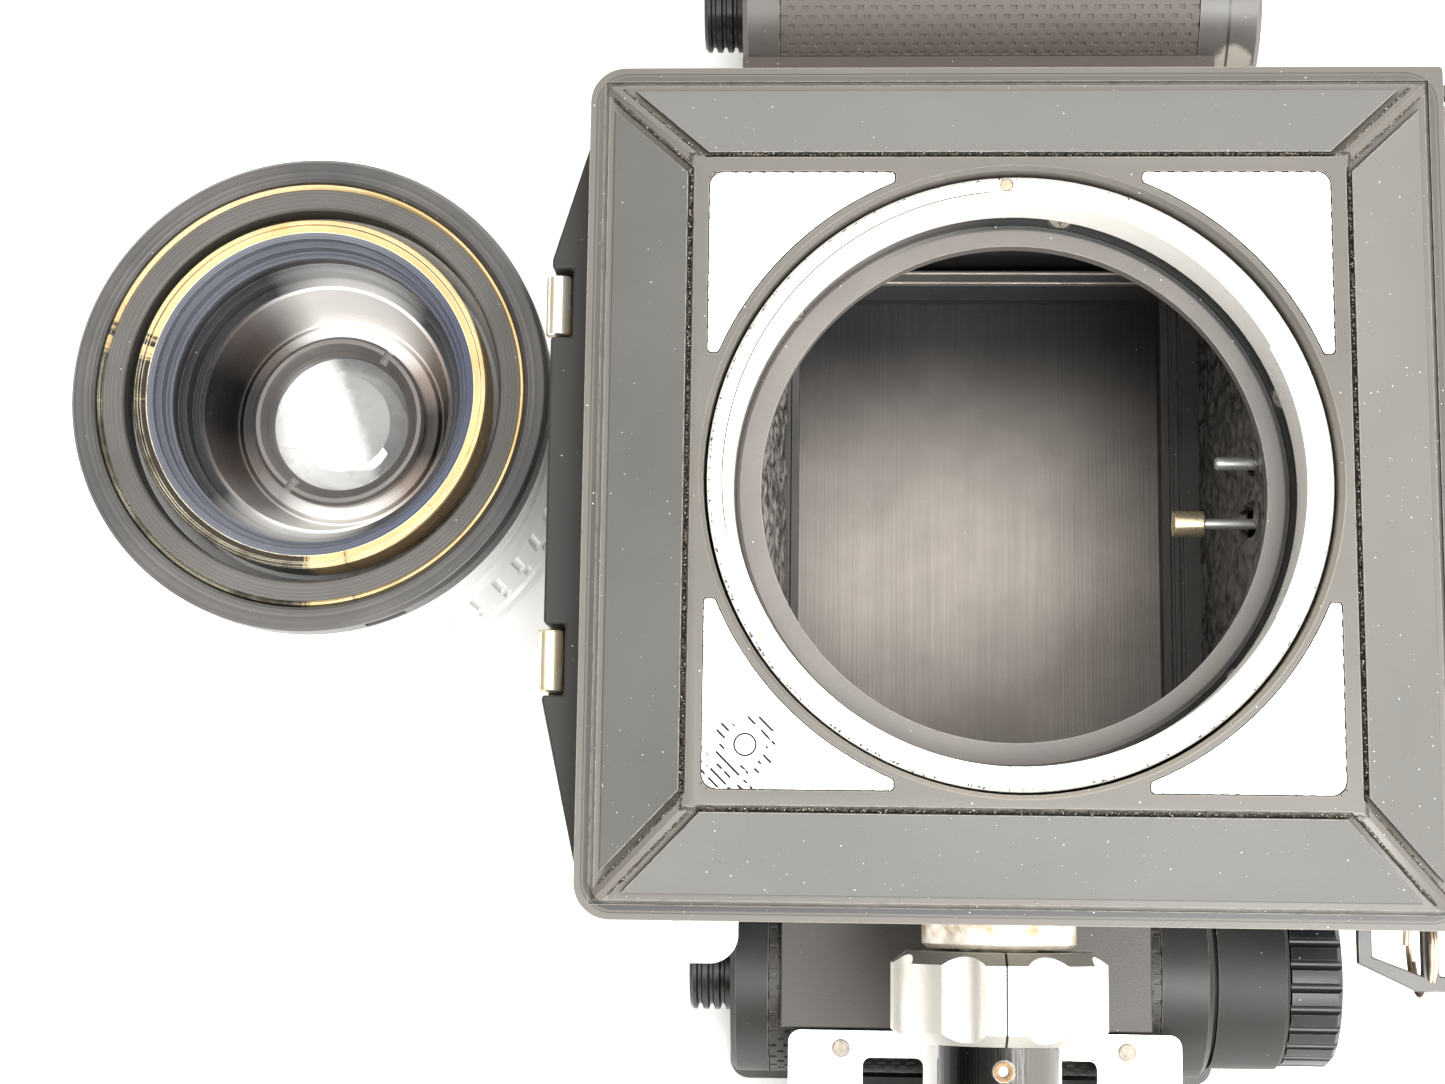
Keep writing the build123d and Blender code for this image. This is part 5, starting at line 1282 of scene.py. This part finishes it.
@dataclass
class Chamber:
    """What the throat looks down on; in millimetres."""

    wall_x: float = 33.5
    half_y: tuple[float, float] = (41.6, 45.0)
    z: tuple[float, float] = (32.2, 85.4)
    crease: float = 0.42
    rail_y: tuple[float, float] = (42.3, 44.1)
    rail_z: float = 38.4
    lean: float = 3.7
    leather: float = 1.2
    slot: Triple = (2.6, 64.0, 76.0)
    hole: Triple = (34.0, 7.5, 75.0)
    hole_r: float = 2.0

    def liner(self, side: int) -> None:
        """A wrinkled leather lining; the one on the lens's side leans inwards at its foot.

        Args:
            side: 1 for the finder's side, -1 for the other.
        """
        bm = bmesh.new()
        low, high = self.z
        bmesh.ops.create_grid(bm, x_segments=150, y_segments=90, size=0.5)
        half = self.half_y[side > 0]
        bmesh.ops.scale(bm, vec=(2 * MM * half, MM * (high - low), 1.0), verts=bm.verts)
        stand = Matrix.Rotation(math.radians(90.0), 4, "Z") @ Matrix.Rotation(math.radians(90.0), 4, "X")
        bmesh.ops.transform(bm, matrix=stand, verts=bm.verts)
        at = Vector((side * (self.wall_x + 0.5), 0.0, (low + high) / 2))
        bmesh.ops.translate(bm, vec=MM * at, verts=bm.verts)
        if side > 0:
            bmesh.ops.delete(bm, geom=[face for face in bm.faces if self.opens(face)], context="FACES")
        for vert in bm.verts:
            near, _ = noise.voronoi(Vector(vert.co) * 330.0 + 0.8 * noise.noise_vector(vert.co * 500.0))
            seam = min(1.0, 4.0 * (near[1] - near[0]))
            swell = self.crease * seam + 0.35 * noise.noise(vert.co * 120.0)
            foot = (high - vert.co.z / MM) / (high - low) if side < 0 else 0.0
            vert.co.x -= side * MM * (swell + self.lean * foot)
        bm.normal_update()
        if sum(face.normal.x for face in bm.faces) * side > 0:
            bmesh.ops.reverse_faces(bm, faces=bm.faces[:])
        name = "liner_finder_side" if side > 0 else "liner_lens_side"
        settle(name, bm, "camera", "liner_leather", LINER_LEATHER, "chamber_liners", angle=60.0,
               outward=False, wall=self.leather)

    def opens(self, face: bmesh.types.BMFace) -> bool:
        """Whether a face of the finder's side lies over the slot or the hole in that wall.

        Args:
            face: the face.

        Returns:
            True if it has to go.
        """
        middle = face.calc_center_median()
        in_slot = abs(middle.y) < MM * self.slot[0] and MM * self.slot[1] < middle.z < MM * self.slot[2]
        return in_slot or (middle - MM * Vector(self.hole)).length < MM * self.hole_r

    def rails(self) -> None:
        """The bare worn crowns of the two film rails, each with a groove along it."""
        for side in (-1, 1):
            low, high = sorted((side * self.rail_y[0], side * self.rail_y[1]))
            bm = bar((-32.8, low, self.rail_z - 0.3), (32.8, high, self.rail_z + 0.25))
            top = [face for face in bm.faces if face.normal.z > FACES_UP]
            for width, rise in ((0.3, 0.0), (0.12, -0.3)):
                bmesh.ops.inset_region(bm, faces=top, thickness=MM * width, depth=MM * rise,
                                       use_even_offset=True)
            name = "film_rail_far" if side > 0 else "film_rail_near"
            settle(name, bm, "camera", "black_metal", RAIL_STEEL, bevel=0.06)

    def build(self) -> None:
        """Make the chamber's pieces."""
        self.liner(-1)
        self.liner(1)
        self.rails()
        dress(SLIDE_STEEL, "dark_slide")
        softened("film_gate", GATE_BLACK, bevel=0.12)
        dress(MATT_BLACK, "film_rollers", "pressure_plate")
        dress(ROLLER_BRASS, "coupling_roller")
        dress(SATIN_ALLOY, "coupling_arm", "coupling_pin")


@dataclass
class Housing:
    """The casting, its base and feet; in millimetres."""

    chrome_corner: tuple[float, float] = (-30.0, -50.1)

    def build(self) -> None:
        """Make the body's pieces."""
        casting = softened("body_casting", MATT_BLACK, bevel=0.3)
        casting.data.materials.append(CHROME.material())
        x, y = (MM * edge for edge in self.chrome_corner)
        for face in casting.data.polygons:
            if face.center.x < x and face.center.y < y:
                face.material_index = 1
        softened("base_block", BASE_ENAMEL, bevel=0.4)
        dress(FEET_CHROME, "base_feet")
        dress(CHROME, "tripod_socket")
        dress(SCREW_STEEL, "body_screws")
        softened("magazine_frame", MAGAZINE_BLACK, bevel=0.3)


@dataclass
class Finder:
    """The finder housing along the camera's top; in millimetres."""

    ring_at: Triple = (56.0, 56.75, 68.6)
    ring_r: float = 6.5
    wire: float = 0.44

    def split_ring(self, side: int) -> None:
        """A split ring of two turns of wire through one strap lug.

        Args:
            side: 1 for the upper lug, -1 for the lower one.
        """
        turns = [math.radians(degrees) for degrees in range(0, 360, 36)]
        section = [(self.ring_r + self.wire * math.cos(turn), self.wire * math.sin(turn)) for turn in turns]
        bm = lathe(section, (0.0, 0.0, 0.0), 128, angle=700.0, rise=1.9 * self.wire)
        bmesh.ops.translate(bm, vec=(0.0, 0.0, -MM * 0.95 * self.wire), verts=bm.verts)
        bmesh.ops.transform(bm, matrix=Matrix.Rotation(math.radians(90.0), 4, "Y"), verts=bm.verts)
        at = Vector((self.ring_at[0], side * self.ring_at[1], self.ring_at[2]))
        bmesh.ops.translate(bm, vec=MM * at, verts=bm.verts)
        word = "upper" if side > 0 else "lower"
        settle("split_ring_" + word, bm, "strap_ring_" + word, "ring_steel", RING_STEEL,
               "strap_ring_" + word, angle=60.0)

    def build(self) -> None:
        """Make the finder's pieces."""
        softened("finder_housing", CRINKLE_ENAMEL, bevel=0.5, segments=3)
        dress(FINDER_GLASS, "finder_glasses")
        dress(KNOB_BLACK, "eyepiece_bezel")
        softened("accessory_shoe", CHROME, bevel=0.15)
        softened("strap_lugs", LUG_BLACK, bevel=0.2)
        self.split_ring(1)
        self.split_ring(-1)


@dataclass
class Grip:
    """The hand grip under the camera; in millimetres."""

    screw_at: Triple = (0.0, -73.6, 75.3)

    def tube_screw(self) -> None:
        """The dark bronze ring round the tube's locating screw."""
        outline = ((0.72, -0.5), (1.32, -0.5), (1.32, 0.08), (1.25, 0.14), (0.78, 0.14), (0.72, 0.1))
        ring = lathe(outline, self.screw_at, 40)
        settle("tube_screw_ring", ring, "camera", "brass", SCREW_BRONZE, angle=40.0)

    def build(self) -> None:
        """Make the grip's pieces."""
        dress(COLLAR_CHROME, "grip_collar")
        softened("grip_nut", NUT_ALLOY, bevel=0.25, flat=False)
        dress(DARK_CHROME, "grip_tube")
        self.tube_screw()
        dress(GRIP_PLASTIC, "grip_handle")
        dress(CHROME, "trigger")


@dataclass
class FilmBack:
    """The two film chambers, their knobs and the door behind them; in millimetres."""

    axis_z: float = 19.0
    skin_r: float = 15.9
    skin_t: float = 0.38
    takeup_y: float = -62.0
    supply_y: float = 94.0
    takeup_x: tuple[float, float] = (-31.7, 26.3)
    supply_x: tuple[float, float] = (-31.5, 34.7)
    dash: tuple[float, float] = (1.1, 0.72)
    press: tuple[float, float] = (0.1, 0.24)
    foot: tuple[float, float] = (12.9, 10.0)
    joint: tuple[float, float] = (12.8, 23.2)

    def skin(self, name: str, y: float, ends: tuple[float, float], inward: float) -> None:
        """Leatherette with staggered rows of pressed dashes, wrapped round one film chamber.

        Args:
            name: the piece's name.
            y: where the chamber's axis is.
            ends: where the wrap starts and stops along the axis.
            inward: 1 or -1, the side where the chamber meets the body.
        """
        bm = bmesh.new()
        rows = 2 * round(math.pi * self.skin_r / self.dash[1])
        columns = round((ends[1] - ends[0]) / self.dash[0])
        wide = (ends[1] - ends[0]) / columns
        line = [bm.verts.new((MM * (ends[0] + wide * i), 0.0, MM * self.skin_r)) for i in range(columns + 1)]
        edges = [bm.edges.new(pair) for pair in zip(line, line[1:])]
        bmesh.ops.spin(bm, geom=line + edges, cent=(0.0, 0.0, 0.0), axis=(1.0, 0.0, 0.0),
                       dvec=(0.0, 0.0, 0.0), angle=math.tau, steps=rows, use_merge=True)
        bmesh.ops.recalc_face_normals(bm, faces=bm.faces)
        outwards = Vector((0.0, 1.0, 1.0))
        if sum(face.normal.dot(face.calc_center_median() * outwards) for face in bm.faces) < 0:
            bmesh.ops.reverse_faces(bm, faces=bm.faces[:])
        gone, pressed = [], []
        for face in bm.faces:
            middle = face.calc_center_median()
            turn = math.atan2(middle.y, middle.z) % math.tau
            row, column = int(turn / math.tau * rows), int((middle.x / MM - ends[0]) / wide)
            side, height = middle.y / MM, middle.z / MM + self.axis_z
            under = height < self.foot[1] and abs(side) < self.foot[0]
            if under or (side * inward > 0 and self.joint[0] < height < self.joint[1]):
                gone.append(face)
            elif row % 2 == 0 and (column + row // 2) % 2 == 0:
                pressed.append(face)
        bmesh.ops.inset_individual(bm, faces=pressed, thickness=MM * self.press[0], depth=-MM * self.press[1])
        bmesh.ops.delete(bm, geom=gone, context="FACES")
        bmesh.ops.translate(bm, vec=MM * Vector((0.0, y, self.axis_z)), verts=bm.verts)
        settle(name, bm, "camera", "leatherette", LEATHERETTE, "leatherette", angle=50.0, outward=False,
               wall=self.skin_t)

    def build(self) -> None:
        """Make the back's pieces."""
        self.skin("leatherette_takeup", self.takeup_y, self.takeup_x, 1.0)
        self.skin("leatherette_supply", self.supply_y, self.supply_x, -1.0)
        dress(DRUM_WORN, "supply_drum")
        # the take-up drum's enamel is darkened as painted shade
        dress(DRUM_ENAMEL_SHADED, "takeup_drum")
        dress(SPOOL_PLASTIC, "supply_spool", "takeup_spool")
        dress(KNOB_BLACK, "supply_knob", "takeup_knob")
        softened("wind_knob", KNOB_BLACK, bevel=0.18, flat=False)
        dress(MATT_BLACK, "wind_hub")
        softened("takeup_cover", COVER_ENAMEL, bevel=0.25)
        softened("latch_bracket", SATIN_ALLOY, bevel=0.2)
        dress(RIVET_WORN, "bracket_rivets")
        softened("back_lock_lever", CHROME, bevel=0.2)
        softened("rear_door", CRINKLE_ENAMEL, bevel=0.3)
        dress(SCREW_STEEL, "door_hinge", "door_catch")


@dataclass
class Lens:
    """The lens standing on its front ring beside the camera; in millimetres."""

    blade_z: float = 29.6
    blade_r: float = 12.2
    count: int = 5
    edge_y: float = 2.4
    tilt: float = 2.2

    def blades(self) -> None:
        """The shut blades of the leaf shutter under the rear glass, each lapped over the next."""
        bm = bmesh.new()
        for index in range(self.count):
            leaf = bmesh.ops.create_circle(bm, cap_ends=True, segments=40, radius=MM * self.blade_r)["verts"]
            joined = {item for vert in leaf for item in (*vert.link_edges, *vert.link_faces)}
            kept = bmesh.ops.bisect_plane(bm, geom=leaf + list(joined), dist=CUT, clear_outer=True,
                                          plane_co=(0.0, -MM * self.edge_y, 0.0),
                                          plane_no=(0.0, -1.0, 0.0))["geom"]
            part = [item for item in kept if isinstance(item, bmesh.types.BMVert)]
            tilt = Matrix.Rotation(math.radians(self.tilt), 4, "Y")
            turn = Matrix.Rotation(math.tau / self.count * index, 4, "Z")
            bmesh.ops.transform(bm, matrix=turn @ tilt, verts=part)
        bmesh.ops.translate(bm, vec=MM * Vector((*LENS_AXIS[:2], self.blade_z)), verts=bm.verts)
        bm.normal_update()
        settle("shutter_blades", bm, "lens", "steel", BLADE_STEEL, outward=False, wall=0.08)

    def build(self) -> None:
        """Make the lens's pieces."""
        softened("lens_flange", FLANGE_BLACK, bevel=0.15, flat=False)
        dress(BRASS_RING, "lens_brass_rings")
        dress(GREY_ANODISED, "lens_grey_ring")
        dress(BLUE_ANODISED, "lens_rear_tube")
        dress(CONE_BLACK, "lens_cone")
        dress(CELL_GREY, "lens_retainer")
        self.blades()
        dress(REAR_GLASS, "rear_element")
        dress(FRONT_GLASS, "front_element")
        dress(BARREL_ALLOY, "lens_barrel", "focus_ring", "aperture_ring", "lens_front_ring", "cocking_lever")


# ------------------------------------------------------------------ stage

@dataclass
class Studio:
    """A white sheet under even, very bright light, and the camera that looks down on it."""

    camera_at: Triple = (-23.5, -51.4, 387.2)
    ahead: Triple = (-0.0451, 0.1508, -0.9875)
    above: Triple = (-0.0067, 0.9885, 0.1513)
    lens: float = 57.9
    sky: Triple = (2.75, 2.7, 2.6)
    dim_side: float = 0.12

    def floor(self) -> None:
        """Lay the white sheet."""
        bm = bmesh.new()
        bmesh.ops.create_grid(bm, x_segments=8, y_segments=8, size=1.5)
        bmesh.ops.translate(bm, verts=bm.verts, vec=(0.0, 0.0, -0.2 * MM))
        mesh = bpy.data.meshes.new("sheet")
        bm.to_mesh(mesh)
        bm.free()
        mesh.materials.append(Finish("white_sheet", (0.9, 0.9, 0.9), (0.86, 0.86, 0.86), (0.7, 0.8),
                                     drift=8.0, grain=0.02, grain_scale=900.0).material())
        sheet = bpy.data.objects.new("sheet", mesh)
        bpy.context.scene.collection.objects.link(sheet)

    def world(self) -> None:
        """Light from all round, less of it from the lens's side."""
        made = bpy.data.worlds.new("bright_room")
        bpy.context.scene.world = made
        made.use_nodes = True
        made.node_tree.nodes.clear()
        g = Graph(made.node_tree)
        way = g.add("SeparateXYZ", {0: g.add("TexCoord").outputs["Generated"]})
        side = g.remap(way.outputs[0], -0.8, 0.15, self.dim_side, 1.0)
        high = g.remap(way.outputs[2], 0.45, 0.95)
        share = g.math("MAXIMUM", side, high)
        ends = g.math("ADD", 1.0, g.math("MULTIPLY", g.math("ABSOLUTE", way.outputs[1]), 0.3))
        back = g.add("Background", {"Color": (*self.sky, 1.0), "Strength": g.math("MULTIPLY", share, ends)})
        g.tree.links.new(back.outputs[0], g.add("OutputWorld").inputs[0])

    def lamp(self, name: str, at: Triple, size: float, power: float) -> None:
        """Hang one square soft light that faces the throat.

        Args:
            name: the light's name.
            at: its place in metres.
            size: its side in metres.
            power: its power in watts.
        """
        data = bpy.data.lights.new(name, "AREA")
        data.energy, data.size = power, size
        light = bpy.data.objects.new(name, data)
        light.location = at
        light.rotation_euler = (-Vector(at)).to_track_quat("-Z", "Y").to_euler()
        bpy.context.scene.collection.objects.link(light)

    def camera(self) -> None:
        """Set up the camera."""
        data = bpy.data.cameras.new("camera")
        data.lens, data.sensor_width, data.sensor_fit = self.lens, 36.0, "HORIZONTAL"
        data.clip_start, data.clip_end = 0.01, 20.0
        view = bpy.data.objects.new("camera", data)
        back = -Vector(self.ahead).normalized()
        right = Vector(self.above).cross(back).normalized()
        up = back.cross(right)
        turn = Matrix((right, up, back)).transposed().to_4x4()
        view.matrix_world = Matrix.Translation(MM * Vector(self.camera_at)) @ turn
        bpy.context.scene.collection.objects.link(view)
        bpy.context.scene.camera = view

    def build(self) -> None:
        """Make the whole stage."""
        bpy.context.scene.view_settings.view_transform = "Standard"
        self.floor()
        self.world()
        self.lamp("overhead", (0.25, -0.3, 0.9), 0.45, 12.0)
        self.camera()


def main() -> None:
    """Build the stage and every sub-assembly, with the noise's seed set so that each run is the same."""
    noise.seed_set(NOISE_SEED)
    logging.basicConfig(level=logging.INFO, format="%(relativeCreated)d ms  %(message)s")
    Studio().build()
    for part in (FrontFrame(), Throat(), Chamber(), Housing(), Finder(), Grip(), FilmBack(), Lens()):
        log.info("-- %s", type(part).__name__)
        part.build()


if __name__ == "__main__":
    main()
